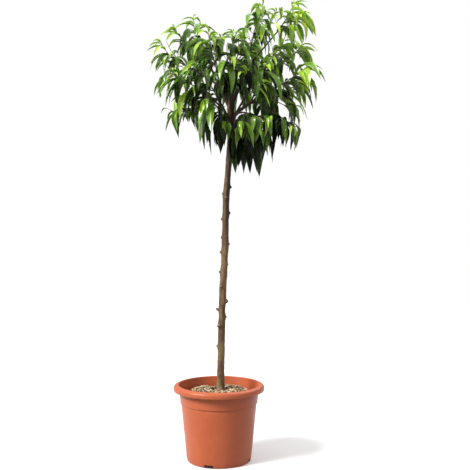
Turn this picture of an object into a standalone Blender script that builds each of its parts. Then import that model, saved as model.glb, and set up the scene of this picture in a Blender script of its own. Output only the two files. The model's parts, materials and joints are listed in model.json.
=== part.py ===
"""A young peach tree grown as a standard: one clean stem under a two-lobed, drooping head of
long leaves, in a round terracotta-coloured plastic pot of soil that is topped with wood chips.

Metres, +Z up. The origin is the middle of the pot's underside, +X is to the right seen from the
front, and -Y is the front. Each bough ends where it enters a mass of leaves. Each mass is one
solid: a stem that carries on from the bough's tip, its side twigs, and the leaves on both.
"""

import math
from dataclasses import dataclass

import bmesh
import bpy
import numpy as np
from mathutils.bvhtree import BVHTree

# Clearance between solids that touch, how far apart points are welded, and the steepest turn
# between faces that is still shaded smooth
CLEARANCE = 0.0003
WELD_DISTANCE = 1e-6
SHARP_ANGLE = math.radians(50)

# Pot
POT_HEIGHT = 0.249
POT_WALL = 0.0026
POT_STEPS = 32
RIM_RADIUS = 0.150
MOUTH_RADIUS = 0.1325
RIM_DEPTH = 0.0195
RIM_FOOT = (0.004, 0.0045)
RIM_ROUND_STEPS = 5
BASE_RADIUS = 0.1063
BASE_CHAMFER = 0.004
WALL_SLOPE = 0.099
BAND_SLOPE = 0.085
STEP_HEIGHT = 0.187
STEP_DEPTH = 0.0028
STEP_RISE = 0.0025
NOTCH_WIDTH = 0.031
NOTCH_HEIGHT = 0.011
NOTCH_DEPTH = 0.017
NOTCH_COUNT = 4
NOTCH_START_DEG = -107.0

# Soil and the chips on it
SOIL_HEIGHT = 0.2265
SOIL_EDGE_DROP = 0.013
SOIL_SHOULDER_DROP = 0.004
SOIL_FLAT_RADIUS = 0.030
SOIL_SHOULDER_RADIUS = 0.090
CHIP_SIZE = (0.026, 0.010, 0.006)
CHIP_SIZE_SPREAD = (0.75, 1.2)
CHIP_TILT = 0.14
CHIP_LIFT = 0.0008
CHIP_COUNT = 16
CHIP_SEED = 4
CHIP_INNER_RADIUS = 0.042
CHIP_OUTER_RADIUS = 0.108

# Trunk: height, sideways lean and radius run from the soil to the fork
TRUNK_TOP = 1.203
TRUNK_FOOT_X = 0.005
TRUNK_LEAN = 0.038
TRUNK_LEAN_POWER = 1.42
TRUNK_WOBBLE = 0.0028
TRUNK_FOOT_RADIUS = 0.0126
TRUNK_TOP_RADIUS = 0.0098
TRUNK_TAPER_POWER = 0.7
TRUNK_TIP_SHARE = 0.8
FLARE_RADIUS = 0.0045
FLARE_HEIGHT = 0.016
FLARE_RINGS = (0.0, 0.35, 1.0)
FIRST_RING = 0.045
TRUNK_RINGS = 23

# Pruned stubs on the trunk: each is rooted inside it, rises and tapers as it goes out, and has a
# height, a bearing in degrees from +X, a length and a radius
STUB_ROOT_SHARE = 0.35
STUB_RISE = 0.7
STUB_TAPER = (1.5, 0.8)
STUBS = (
    (0.901, 0, 0.006, 0.0036),
    (0.880, 190, 0.004, 0.0036),
    (0.868, 262, 0.003, 0.0046),
    (0.815, 10, 0.006, 0.0034),
    (0.795, 175, 0.006, 0.0034),
    (0.735, 165, 0.004, 0.0034),
    (0.712, 20, 0.005, 0.0032),
    (0.686, 190, 0.006, 0.0036),
    (0.646, 330, 0.004, 0.0032),
    (0.619, 170, 0.007, 0.0028),
    (0.573, 235, 0.004, 0.0042),
    (0.523, 345, 0.010, 0.0046),
    (0.494, 185, 0.013, 0.0030),
    (0.473, 15, 0.004, 0.0046),
    (0.444, 225, 0.006, 0.0052),
    (0.374, 180, 0.006, 0.0032),
    (0.610, 60, 0.005, 0.0034),
    (0.770, 80, 0.005, 0.0036),
)

# How many extra sides a round limb's section has beyond four, halved
TRUNK_RESOLUTION = 2
BOUGH_RESOLUTION = 1

# Line of a limb: its slope in degrees where it leaves its parent, for a level reach and an
# upright one, and where it ends, for tips at the two heights, and how far each slope carries
LEAVING_SLOPES = (28, 62)
ENDING_SLOPES = (-8, 68)
ENDING_HEIGHTS = (1.09, 1.42)
LEAVING_REACH, ENDING_REACH = 0.36, 0.30
LINE_POINTS = 60

# Boughs: taper is the foot's radius gained for each metre of the whole line
BOUGH_SPACING = 0.055
BOUGH_TAPER = 0.0135
FOOT_RADIUS_SHARE = 0.66
FOOT_SWELL = 0.25
FOOT_SWELL_LENGTH = 0.012
BOUGH_TIP_RADIUS = 0.0024

# Shoots: the stem takes the last stretch of its bough's line, and its twigs leave it low down
LEAFY_LENGTH = 0.120
LEAFY_SHARE = 0.62
SHOOT_SPACING = 0.030
STEM_TIP_RADIUS = 0.0011
TWIG_FOOT_RADIUS = 0.0020
FIRST_TWIG_AT, TWIG_STEP = 0.16, 0.14

# Leaves: shape of the blade, as shares of its length, and where it is cut into sections
LEAF_WIDTH_SHARES = (0.24, 0.205)
LEAF_THICKNESS_SHARE = 0.013
LEAF_FOLD = 0.10
PETIOLE_SHARE = 0.07
OUTLINE_POWER = 0.75
BLADE_STATIONS = (0.0, 0.34, 0.70, 1.0)
TEST_STATIONS = (0.14, 0.28, 0.42, 0.56, 0.70, 0.85, 1.0)
CURVE_STEPS = 32
BEND_POWER = 1.35

# Growth: a leaf every so far along a shoot, each turned on by the golden angle. Past the share
# where youth starts, leaves grow shorter and steeper, and between the two heights they go from
# hanging to arching
LEAF_SPACING = 0.0098
FEWEST_LEAVES = 5
LEAFY_FROM, LEAFY_TO = 0.10, 0.98
GOLDEN_ANGLE = math.radians(137.5)
YOUTH_FROM = 0.78
HANGING_HEIGHTS = (1.10, 1.34)
LIFTS = (-0.15, 0.24)
SAG_SHARES = (0.60, 1.00)
SPREAD_DEG, YOUNG_SPREAD_DEG, SPREAD_DRIFT_DEG = 58, 28, 12
STEEPEST_START = (-0.5, 0.96)
TIP_DROPS_DEG = (66, 110)
YOUNG_TIP_RISE_DEG = 62
LEAST_TURN_DEG = 12
YOUNG_LENGTH_LOSS = 0.5
LENGTH_SPREAD = (0.86, 1.10)
WIDTH_SPREAD = (0.88, 1.12)
ROLL_LIMIT = 1.1
TURN_DRIFT = 0.22
ROOT_SINK = 0.0002
LEAF_SEED = 113
CROWN_TOP = 1.523

# A leaf that finds no room is drawn again, turned on and a little shorter
TRIES = 16
RETRY_TURN = 0.9
RETRY_LENGTH_LOSS = 0.02

# Openings, each a place in millimetres across and up in the middle plane, and a radius: leaves
# stay out of them all along the line of sight from the front
OPENINGS = np.array([
    (-103, 1087, 27), (-176, 1146, 10), (282, 1103, 17), (268, 1146, 10), (10, 1441, 20),
    (40, 1448, 20), (66, 1451, 20), (73, 1481, 20), (-169, 1465, 20), (-192, 1428, 15),
    (-33, 1455, 17), (-229, 1398, 15), (-123, 1475, 15), (222, 1282, 15), (212, 1143, 13),
    (-43, 1398, 10), (204, 1445, 8), (-126, 1299, 9), (259, 1325, 8), (98, 1383, 8), (229, 1488, 7),
    (179, 1514, 14), (-186, 1349, 8), (-93, 1425, 8), (66, 1329, 8), (341, 1226, 12),
    (335, 1339, 13), (322, 1455, 15), (-229, 1229, 15), (93, 1504, 17), (205, 984, 20),
    (-182, 1209, 10), (36, 1143, 11), (36, 1166, 10), (36, 1120, 9),
]) * 0.001
VIEW_PLACE = (0.053, -2.370, 0.742)

# Space between masses, round a limb and between the leaves of one mass
MASS_GAP = 0.0024
LIMB_GAP = 0.0010
MASS_REACH = 0.165
HEART_DROP = 0.038
HEARTS_AT = (0.45, 1.0)
LIMB_TEST_SIDES = 6

UP = np.array([0.0, 0.0, 1.0])
SIDEWAYS = np.array([0.31, 0.17, 0.93])


@dataclass
class Mass:
    """One mass of leaves, the bough that carries it and where that bough leaves its parent."""

    name: str
    parent: str
    at: float
    tips: tuple
    leaf: float


# Each mass: the limb that its bough leaves, how far along it, the tips of its stem and side
# twigs in millimetres, and the length of its full-grown leaves
MASSES = (
    Mass("left_leader", "trunk", 0.955, ((-82, 20, 1446), (-134, -15, 1402)), 0.122),
    Mass("right_leader", "trunk", 0.97, ((142, 0, 1497), (172, -70, 1432)), 0.122),
    Mass("centre_top", "trunk", 1.0, ((45, -15, 1386), (75, -70, 1358)), 0.122),
    Mass("right_far", "trunk", 0.92, ((285, -29, 1289), (253, 44, 1252)), 0.128),
    Mass("back_centre", "trunk", 0.93, ((65, 205, 1285), (0, 195, 1350)), 0.125),
    Mass("centre_front", "trunk", 0.945, ((28, -135, 1300), (84, -140, 1238), (-16, -128, 1256)), 0.140),
    Mass("right_front", "trunk", 0.90, ((150, -165, 1265), (115, -155, 1205)), 0.142),
    Mass("left_mid", "trunk", 0.905, ((-62, -145, 1262), (-98, -80, 1210)), 0.136),
    Mass("back_left_low", "trunk", 0.89, ((-58, 154, 1233), (-111, 101, 1210)), 0.136),
    Mass("low_right", "trunk", 0.865, ((172, -35, 1108), (138, -62, 1076)), 0.160),
    Mass("back_low", "trunk", 0.875, ((75, 130, 1145), (0, 125, 1170)), 0.140),
    Mass("centre_low", "trunk", 0.885, ((-32, -130, 1166), (18, -95, 1102)), 0.150),
    Mass("low_trunk", "trunk", 0.835, ((115, 25, 1072), (66, -20, 1084)), 0.160),
    Mass("left_far", "left_leader", 0.42, ((-184, 0, 1364), (-154, -40, 1340)), 0.108),
    Mass("left_front", "left_leader", 0.30, ((-28, -155, 1356), (4, -108, 1342)), 0.118),
    Mass("back_left_top", "left_leader", 0.22, ((-25, 140, 1420), (-125, 105, 1320)), 0.120),
    Mass("left_low", "left_mid", 0.45, ((-166, 0, 1294), (-136, -100, 1244)), 0.122),
    Mass("left_bottom", "back_left_low", 0.40, ((-154, 22, 1156), (-98, 50, 1204)), 0.106),
    Mass("centre_deep", "right_leader", 0.44, ((108, 45, 1345), (78, 56, 1292)), 0.126),
    Mass("back_centre_top", "centre_top", 0.18, ((66, 170, 1428), (140, 130, 1444)), 0.122),
    Mass("right_crest", "right_leader", 0.52, ((243, 10, 1500), (262, -35, 1446)), 0.124),
    Mass("right_upper", "right_leader", 0.36, ((270, 0, 1366), (213, 34, 1350)), 0.122),
    Mass("back_right_top", "right_leader", 0.24, ((228, 126, 1435), (184, 186, 1345)), 0.134),
    Mass("right_low", "right_far", 0.35, ((222, -30, 1190), (240, 10, 1168)), 0.128),
    Mass("front_low", "right_front", 0.30, ((145, -148, 1100), (78, -162, 1088)), 0.098),
    Mass("back_right_low", "right_far", 0.22, ((193, 154, 1242), (240, 109, 1234)), 0.140),
    Mass("right_bottom", "right_low", 0.50, ((240, -60, 1092), (220, -95, 1088)), 0.116),
)


@dataclass
class Limb:
    """A tapering round limb along its centre line."""

    points: np.ndarray
    radii: np.ndarray

    def at(self, share):
        """The point and direction a share of the way along the centre line."""
        steps = np.linalg.norm(np.diff(self.points, axis=0), axis=1)
        along = np.concatenate([[0.0], np.cumsum(steps)]) / steps.sum()
        point = np.array([np.interp(share, along, self.points[:, k]) for k in range(3)])
        index = min(int(np.searchsorted(along, share, side="right")), len(steps)) - 1
        return point, unit(self.points[index + 1] - self.points[index])

    def radius_at(self, share):
        """The radius a share of the way along, by point count."""
        return float(np.interp(share, np.linspace(0, 1, len(self.radii)), self.radii))


@dataclass
class Leaf:
    """A blade that leaves its twig at a pitch and bends down in the upright plane of its bearing."""

    root: np.ndarray
    bearing: float
    pitch: float
    turn: float
    sag: float
    roll: float
    length: float
    width: float


def unit(vector):
    return vector / np.linalg.norm(vector)


def between(ends, share):
    """The value a share of the way from the first of two ends to the second."""
    return ends[0] + (ends[1] - ends[0]) * share


def smooth_share(value, low, high):
    """0 below low and 1 above high, with a smooth rise between."""
    share = min(max((value - low) / (high - low), 0.0), 1.0)
    return share * share * (3 - 2 * share)


def resampled(points, count):
    """The same line with evenly spaced points."""
    steps = np.linalg.norm(np.diff(points, axis=0), axis=1)
    along = np.concatenate([[0.0], np.cumsum(steps)])
    wanted = np.linspace(0.0, along[-1], count)
    return np.stack([np.interp(wanted, along, points[:, k]) for k in range(3)], axis=1)


def length_of(points):
    return float(np.linalg.norm(np.diff(points, axis=0), axis=1).sum())


def spaced(points, spacing):
    """The same line with a point about every spacing, and at least four."""
    return resampled(points, max(4, int(round(length_of(points) / spacing)) + 1))


# Limbs


def trunk_limb():
    """The trunk from its flat foot on the soil to the fork, with its lean, wobble and root flare."""
    foot = SOIL_HEIGHT + CLEARANCE
    heights = np.concatenate([
        foot + FLARE_HEIGHT * np.array(FLARE_RINGS),
        np.linspace(foot + FIRST_RING, TRUNK_TOP, TRUNK_RINGS),
    ])
    share = (heights - foot) / (TRUNK_TOP - foot)
    lean = TRUNK_FOOT_X + TRUNK_LEAN * share**TRUNK_LEAN_POWER
    sway = np.sin(11 * share + 1.0) - math.sin(1.0)
    points = np.stack([
        lean + TRUNK_WOBBLE * np.sin(17 * share) * share,
        1.3 * TRUNK_WOBBLE * sway,
        heights,
    ], axis=1)
    points[1, :2] = points[0, :2]
    radii = between((TRUNK_FOOT_RADIUS, TRUNK_TOP_RADIUS), share**TRUNK_TAPER_POWER)
    radii = radii + FLARE_RADIUS * np.exp(-(heights - foot) / (0.5 * FLARE_HEIGHT))
    radii = radii + 0.0005 * np.sin(41 * share) + 0.0004 * np.sin(67 * share)
    radii[-1] *= TRUNK_TIP_SHARE
    return Limb(points, radii)


def bezier(p0, p1, p2, p3, count):
    t = np.linspace(0.0, 1.0, count)[:, None]
    return (1 - t) ** 3 * p0 + 3 * (1 - t) ** 2 * t * p1 + 3 * (1 - t) * t**2 * p2 + t**3 * p3


def limb_line(start, tip):
    """A limb's line from its parent's centre: outwards first, then up, or level if it is low."""
    reach = tip - start
    distance = np.linalg.norm(reach)
    outward = unit(np.array([reach[0], reach[1], 0.0]) + 1e-9)
    climb = reach[2] / distance
    first = math.radians(between(LEAVING_SLOPES, climb))
    last = math.radians(between(ENDING_SLOPES, smooth_share(tip[2], *ENDING_HEIGHTS)))
    leave = outward * math.cos(first) + UP * math.sin(first)
    arrive = outward * math.cos(last) + UP * math.sin(last)
    start_handle = start + LEAVING_REACH * distance * leave
    tip_handle = tip - ENDING_REACH * distance * arrive
    return bezier(start, start_handle, tip_handle, tip, LINE_POINTS)


def bough_and_stem(parent, mass):
    """The woody bough and, past its tip, the leafy stem of its mass, as one line cut in two."""
    start, _ = parent.at(mass.at)
    tip = np.array(mass.tips[0]) * 0.001
    steps = 4 * LINE_POINTS
    line = resampled(limb_line(start, tip), steps + 1)
    total = length_of(line)
    leafy = min(LEAFY_LENGTH, LEAFY_SHARE * total)
    cut = int(round((1 - leafy / total) * steps))
    wood = line[: cut + 1]
    foot_radius = min(
        BOUGH_TIP_RADIUS + BOUGH_TAPER * total, FOOT_RADIUS_SHARE * parent.radius_at(mass.at)
    )
    count = max(4, int(round(length_of(wood) / BOUGH_SPACING)) + 2)
    points = resampled(wood, count)
    radii = np.linspace(foot_radius, BOUGH_TIP_RADIUS, count)
    swell = FOOT_SWELL * np.exp(-np.linspace(0, length_of(wood), count) / FOOT_SWELL_LENGTH)
    bough = Limb(points, radii * (1 + swell))
    facing = unit(points[-1] - points[-2])
    green = line[cut:] + facing * CLEARANCE
    points = spaced(green, SHOOT_SPACING)
    points[1] = points[0] + facing * np.linalg.norm(points[1] - points[0])
    stem = Limb(points, np.linspace(BOUGH_TIP_RADIUS, STEM_TIP_RADIUS, len(points)))
    return bough, stem


def side_twig(stem, tip, order):
    """A side twig that leaves the stem low down and heads for its own tip."""
    start, _ = stem.at(FIRST_TWIG_AT + TWIG_STEP * order)
    points = spaced(limb_line(start, np.array(tip) * 0.001), SHOOT_SPACING)
    return Limb(points, np.linspace(TWIG_FOOT_RADIUS, STEM_TIP_RADIUS, len(points)))


def limb_tree(limb, grow):
    """A search tree of a limb's skin, made thicker by grow, to find what crosses the limb."""
    corners, faces = [], []
    for k, (point, radius) in enumerate(zip(limb.points, limb.radii)):
        before, after = max(k - 1, 0), min(k + 1, len(limb.points) - 1)
        axis = unit(limb.points[after] - limb.points[before])
        level = unit(np.cross(axis, SIDEWAYS))
        other = np.cross(axis, level)
        for side in range(LIMB_TEST_SIDES):
            angle = 2 * math.pi * side / LIMB_TEST_SIDES
            out = level * math.cos(angle) + other * math.sin(angle)
            corners.append(point + (radius + grow) * out)
    for first in range(0, len(corners) - LIMB_TEST_SIDES, LIMB_TEST_SIDES):
        for side in range(LIMB_TEST_SIDES):
            after = (side + 1) % LIMB_TEST_SIDES
            ring = (side, after, after + LIMB_TEST_SIDES, side + LIMB_TEST_SIDES)
            faces.append([first + corner for corner in ring])
    return BVHTree.FromPolygons(corners, faces)


# Leaves


def blade_frames(leaf, stations):
    """The blade's centre line with its sideways and upward directions, at shares of its length."""
    fine = np.linspace(0.0, 1.0, CURVE_STEPS + 1)
    slope = leaf.pitch - leaf.turn * (1 - np.maximum(1 - fine / leaf.sag, 0.0) ** BEND_POWER)
    middle = (slope[1:] + slope[:-1]) / 2
    step = leaf.length / CURVE_STEPS
    run = np.concatenate([[0.0], np.cumsum(np.cos(middle))]) * step
    rise = np.concatenate([[0.0], np.cumsum(np.sin(middle))]) * step
    run, rise, slope = (np.interp(stations, fine, value)[:, None] for value in (run, rise, slope))
    ahead = np.array([math.cos(leaf.bearing), math.sin(leaf.bearing), 0.0])
    across = np.array([-math.sin(leaf.bearing), math.cos(leaf.bearing), 0.0])
    centre = leaf.root + run * ahead + rise * UP
    forward = np.cos(slope) * ahead + np.sin(slope) * UP
    roll = leaf.roll * np.asarray(stations)[:, None]
    side = across * np.cos(roll) + np.cross(forward, across) * np.sin(roll)
    return centre, side, np.cross(forward, side)


def half_width(leaf, stations):
    """Half the blade's width: a lance shape, widest before the middle, with a long fine tip."""
    blade = np.clip((np.asarray(stations) - PETIOLE_SHARE) / (1 - PETIOLE_SHARE), 0.0, 1.0)
    return 0.5 * leaf.width * np.sin(math.pi * blade**OUTLINE_POWER)


def blade_samples(leaf, stations):
    """Points on the blade's centre line and on both its edges."""
    centre, side, up = blade_frames(leaf, stations)
    half = half_width(leaf, stations)[:, None]
    return np.concatenate([centre, centre + side * half, centre - side * half])


def draw_leaf(rng, shoot, share, turn_round, mass, attempt):
    """A leaf drawn for one node of a shoot: short and upright near the tip, long and arched below.
    Leaves low in the crown leave their shoot lower and hang sooner."""
    root, axis = shoot.at(share)
    level = unit(np.cross(axis, SIDEWAYS))
    other = np.cross(axis, level)
    round_stem = turn_round + rng.normal(0.0, TURN_DRIFT) + RETRY_TURN * attempt
    out = level * math.cos(round_stem) + other * math.sin(round_stem)
    youth = smooth_share(share, YOUTH_FROM, 1.0)
    height = smooth_share(0.001 * mass.tips[0][2], *HANGING_HEIGHTS)
    usual_spread = between((SPREAD_DEG, YOUNG_SPREAD_DEG), youth)
    spread = math.radians(usual_spread + rng.normal(0.0, SPREAD_DRIFT_DEG))
    lift = between(LIFTS, max(height, youth))
    start = unit(axis * math.cos(spread) + out * math.sin(spread) + lift * UP)
    pitch = math.asin(np.clip(start[2], *STEEPEST_START))
    end = -math.radians(rng.uniform(*TIP_DROPS_DEG) - YOUNG_TIP_RISE_DEG * youth * height)
    length = mass.leaf * (1 - YOUNG_LENGTH_LOSS * youth) * rng.uniform(*LENGTH_SPREAD)
    length *= 1 - RETRY_LENGTH_LOSS * attempt
    return Leaf(
        root=root - ROOT_SINK * start,
        bearing=math.atan2(start[1], start[0]),
        pitch=pitch,
        turn=max(pitch - end, math.radians(LEAST_TURN_DEG)),
        sag=between(SAG_SHARES, height),
        roll=rng.uniform(-ROLL_LIMIT, ROLL_LIMIT),
        length=length,
        width=length * between(LEAF_WIDTH_SHARES, height) * rng.uniform(*WIDTH_SPREAD),
    )


class Crown:
    """The limbs and the hearts of the masses: what says where each mass's own space ends."""

    def __init__(self):
        self.trunk = trunk_limb()
        self.boughs, self.shoots = {}, {}
        for mass in MASSES:
            bough, stem = bough_and_stem(self.parent_of(mass), mass)
            twigs = [side_twig(stem, tip, k) for k, tip in enumerate(mass.tips[1:])]
            self.boughs[mass.name] = bough
            self.shoots[mass.name] = [stem, *twigs]
        self.limb_trees = [limb_tree(limb, LIMB_GAP) for limb in (self.trunk, *self.boughs.values())]
        self.shoot_trees = {
            name: [limb_tree(shoot, LIMB_GAP) for shoot in shoots]
            for name, shoots in self.shoots.items()
        }
        self.grown = {}
        hearts = [
            (index, shoot.at(share)[0] - HEART_DROP * UP)
            for index, mass in enumerate(MASSES)
            for shoot in self.shoots[mass.name]
            for share in HEARTS_AT
        ]
        self.owners = np.array([index for index, _ in hearts])
        self.hearts = np.array([point for _, point in hearts])

    def parent_of(self, mass):
        """The limb that the mass's bough leaves."""
        return self.trunk if mass.parent == "trunk" else self.boughs[mass.parent]

    def in_own_space(self, index, points):
        """True where every point is nearer to this mass's hearts than to any other mass's."""
        apart = np.linalg.norm(points[:, None] - self.hearts[None], axis=2)
        own = apart[:, self.owners == index].min(axis=1)
        others = apart[:, self.owners != index].min(axis=1)
        return bool(((own + MASS_GAP < others) & (own < MASS_REACH)).all())

    def obstacles(self, name):
        """The search trees of all that a leaf of this mass may not cross."""
        others = [trees for other, trees in self.shoot_trees.items() if other != name]
        return [*self.limb_trees, *self.grown.values(), *(tree for trees in others for tree in trees)]


def in_opening(points):
    """True where any point lies in one of the crown's openings."""
    share = VIEW_PLACE[1] / (VIEW_PLACE[1] - points[:, 1:2])
    seen = VIEW_PLACE[::2] + (points[:, ::2] - VIEW_PLACE[::2]) * share
    apart = np.linalg.norm(seen[:, None] - OPENINGS[None, :, :2], axis=2)
    return bool((apart < OPENINGS[:, 2]).any())


def blade_solid(leaf):
    """The corners and faces of a leaf: sections of two edges and a keel, between root and tip. Its
    walls are split along the diagonals that follow the roll, so that they bulge out and never cross."""
    centre, side, up = blade_frames(leaf, BLADE_STATIONS)
    half = half_width(leaf, BLADE_STATIONS)
    corners = [centre[0]]
    for k in range(1, len(BLADE_STATIONS) - 1):
        fold = up[k] * LEAF_FOLD * half[k]
        corners += [centre[k] + side[k] * half[k] + fold, centre[k] - side[k] * half[k] + fold]
        corners.append(centre[k] - up[k] * LEAF_THICKNESS_SHARE * leaf.length)
    corners.append(centre[-1])
    tip = len(corners) - 1
    faces = []
    for k in range(3):
        after = (k + 1) % 3
        faces.append((0, 1 + after, 1 + k))
        if leaf.roll < 0:
            faces += [(1 + k, 4 + after, 4 + k), (1 + k, 1 + after, 4 + after)]
        else:
            faces += [(1 + k, 1 + after, 4 + k), (1 + after, 4 + after, 4 + k)]
        faces.append((4 + k, 4 + after, tip))
    return [tuple(corner) for corner in corners], faces


def joined(blades):
    """The corners and faces of several blades as one list of each."""
    corners, faces = [], []
    for blade_corners, blade_faces in blades:
        faces += [[len(corners) + corner for corner in face] for face in blade_faces]
        corners += blade_corners
    return corners, faces


def grow_leaves(crown, index):
    """The leaves of one mass, as solids: a golden-angle spiral up each shoot. A leaf that would
    leave the mass's space, fill an opening or cross a limb or leaf is drawn again, then skipped."""
    mass = MASSES[index]
    rng = np.random.default_rng(LEAF_SEED + index)
    obstacles = crown.obstacles(mass.name)
    blades = []
    for shoot in crown.shoots[mass.name]:
        count = max(FEWEST_LEAVES, int(length_of(shoot.points) / LEAF_SPACING))
        phase = rng.uniform(0.0, 2 * math.pi)
        for node in range(count):
            share = between((LEAFY_FROM, LEAFY_TO), (node + 0.5) / count)
            for attempt in range(TRIES):
                turn_round = phase + node * GOLDEN_ANGLE
                leaf = draw_leaf(rng, shoot, share, turn_round, mass, attempt)
                samples = blade_samples(leaf, TEST_STATIONS)
                if samples[:, 2].max() > CROWN_TOP or in_opening(samples):
                    continue
                if not crown.in_own_space(index, samples):
                    continue
                blade = blade_solid(leaf)
                tree = BVHTree.FromPolygons(*blade)
                if any(tree.overlap(obstacle) for obstacle in obstacles):
                    continue
                blades.append(blade)
                obstacles.append(tree)
                break
    crown.grown[mass.name] = BVHTree.FromPolygons(*joined(blades))
    return blades


# Blender objects


def clear_scene():
    for obj in list(bpy.data.objects):
        bpy.data.objects.remove(obj)


def new_collection(name, hidden=False):
    collection = bpy.data.collections.new(name)
    bpy.context.scene.collection.children.link(collection)
    collection.hide_render = hidden
    return collection


def new_material(name, colour, roughness):
    material = bpy.data.materials.new(name)
    material.use_nodes = True
    shader = material.node_tree.nodes["Principled BSDF"]
    shader.inputs["Base Color"].default_value = (*colour, 1.0)
    shader.inputs["Roughness"].default_value = roughness
    shader.inputs["Metallic"].default_value = 0.0
    material.diffuse_color = (*colour, 1.0)
    return material


def new_object(name, data, collection):
    obj = bpy.data.objects.new(name, data)
    collection.objects.link(obj)
    return obj


def as_cutter(obj):
    obj.hide_render = True
    obj.display_type = "WIRE"
    return obj


def evaluated_mesh(obj):
    """The object's mesh with its modifiers applied, in world space, with curve caps welded on and
    faces turned outwards."""
    bpy.context.view_layer.update()
    graph = bpy.context.evaluated_depsgraph_get()
    mesh = bpy.data.meshes.new_from_object(obj.evaluated_get(graph))
    mesh.transform(obj.matrix_world)
    work = bmesh.new()
    work.from_mesh(mesh)
    bmesh.ops.remove_doubles(work, verts=work.verts, dist=WELD_DISTANCE)
    bmesh.ops.recalc_face_normals(work, faces=work.faces)
    if work.calc_volume(signed=True) < 0:
        bmesh.ops.reverse_faces(work, faces=work.faces)
    work.to_mesh(mesh)
    work.free()
    return mesh


def tube(name, limb, collection, resolution=None, section=None, grow=0.0):
    """A tapering tube along a limb, as a mesh: round by resolution, or with its own section."""
    curve = bpy.data.curves.new(name, "CURVE")
    curve.dimensions = "3D"
    curve.use_fill_caps = True
    if section:
        curve.bevel_mode = "OBJECT"
        curve.bevel_object = section
    else:
        curve.bevel_depth = 1.0
        curve.bevel_resolution = resolution
    points = limb.points.copy()
    points[-1] += unit(points[-1] - points[-2]) * grow
    spline = curve.splines.new("POLY")
    spline.points.add(len(points) - 1)
    for knot, point, radius in zip(spline.points, points, limb.radii):
        knot.co = (*point, 1.0)
        knot.radius = radius + grow
    guide = new_object(name + "_line", curve, collection)
    mesh = evaluated_mesh(guide)
    bpy.data.objects.remove(guide)
    bpy.data.curves.remove(curve)
    return new_object(name, mesh, collection)


def triangle_section(collection):
    """The three-sided outline that the fine twigs are swept with, of unit radius."""
    curve = bpy.data.curves.new("twig_section", "CURVE")
    curve.dimensions = "2D"
    spline = curve.splines.new("POLY")
    spline.points.add(2)
    for k, knot in enumerate(spline.points):
        angle = 2 * math.pi * k / 3
        knot.co = (math.cos(angle), math.sin(angle), 0.0, 1.0)
    spline.use_cyclic_u = True
    return as_cutter(new_object("twig_section", curve, collection))


def boolean(obj, operation, solver="EXACT", other=None, collection=None):
    """A Boolean that is applied at once. Returns False, and changes nothing, if it fails."""
    modifier = obj.modifiers.new("cut_or_join", "BOOLEAN")
    modifier.operation = operation
    modifier.solver = solver
    if collection:
        modifier.operand_type = "COLLECTION"
        modifier.collection = collection
    else:
        modifier.object = other
    mesh = evaluated_mesh(obj)
    obj.modifiers.remove(modifier)
    if not is_closed(mesh):
        bpy.data.meshes.remove(mesh)
        return False
    obj.data = mesh
    return True


def is_closed(mesh):
    work = bmesh.new()
    work.from_mesh(mesh)
    closed = len(work.faces) > 0 and all(edge.is_manifold for edge in work.edges)
    work.free()
    return closed


def keep_largest_shell(mesh):
    """Drops loose scraps and sealed hollows: only the shell that reaches furthest stays."""
    work = bmesh.new()
    work.from_mesh(mesh)
    unseen, shells = set(work.faces), []
    while unseen:
        shell, edge_of_search = set(), [unseen.pop()]
        while edge_of_search:
            face = edge_of_search.pop()
            shell.add(face)
            for edge in face.edges:
                for neighbour in edge.link_faces:
                    if neighbour in unseen:
                        unseen.discard(neighbour)
                        edge_of_search.append(neighbour)
        shells.append(shell)
    shells.sort(key=lambda shell: sum(face.calc_area() for face in shell))
    loose = [face for shell in shells[:-1] for face in shell]
    bmesh.ops.delete(work, geom=loose, context="FACES")
    work.to_mesh(mesh)
    work.free()


def unite(base, collection):
    return boolean(base, "UNION", "MANIFOLD", collection=collection) or boolean(
        base, "UNION", "EXACT", collection=collection
    )


def unites_without(base, collection, piece):
    """Tries the union with one piece left out, and puts it back if that doesn't help."""
    collection.objects.unlink(piece)
    if unite(base, collection):
        bpy.data.objects.remove(piece)
        return True
    collection.objects.link(piece)
    return False


def join_all(base, collection):
    """Unites the base with every object of the collection, which are then removed. Where the
    union fails, the one piece that stops it is left out."""
    pieces = list(collection.objects)
    if not unite(base, collection):
        if not any(unites_without(base, collection, piece) for piece in reversed(pieces)):
            raise RuntimeError(f"{base.name} could not be joined")
        print(base.name, "left out one piece")
    for obj in list(collection.objects):
        bpy.data.objects.remove(obj)
    bpy.data.collections.remove(collection)
    keep_largest_shell(base.data)


# Pot and soil


def wall_radius(height):
    """The middle of the pot's wall: it widens evenly, and steps out to the band under the rim."""
    step = STEP_DEPTH * smooth_share(height, STEP_HEIGHT, STEP_HEIGHT + STEP_RISE)
    widening = WALL_SLOPE * min(height, STEP_HEIGHT) + BAND_SLOPE * max(height - STEP_HEIGHT, 0.0)
    return BASE_RADIUS - 0.5 * POT_WALL + widening + step


def pot_profile():
    """The middle of the pot's skin as radius and height, from the rolled lip to the floor's centre."""
    middle = 0.5 * POT_WALL
    outer, inner = RIM_RADIUS - middle, MOUTH_RADIUS + middle
    lip, round_radius = 0.5 * (outer + inner), 0.5 * (outer - inner)
    round_height = POT_HEIGHT - middle - round_radius
    lip_foot = POT_HEIGHT - RIM_DEPTH
    profile = [(outer - RIM_FOOT[0], lip_foot), (outer, lip_foot + RIM_FOOT[1])]
    for k in range(RIM_ROUND_STEPS + 1):
        angle = math.pi * k / RIM_ROUND_STEPS
        height = round_height + round_radius * math.sin(angle)
        profile.append((lip + round_radius * math.cos(angle), height))
    profile.append((wall_radius(lip_foot), lip_foot))
    for height in (STEP_HEIGHT + STEP_RISE, STEP_HEIGHT, BASE_CHAMFER):
        profile.append((wall_radius(height), height))
    profile.append((wall_radius(0.0) - BASE_CHAMFER, middle))
    profile.append((0.0, middle))
    return profile


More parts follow.
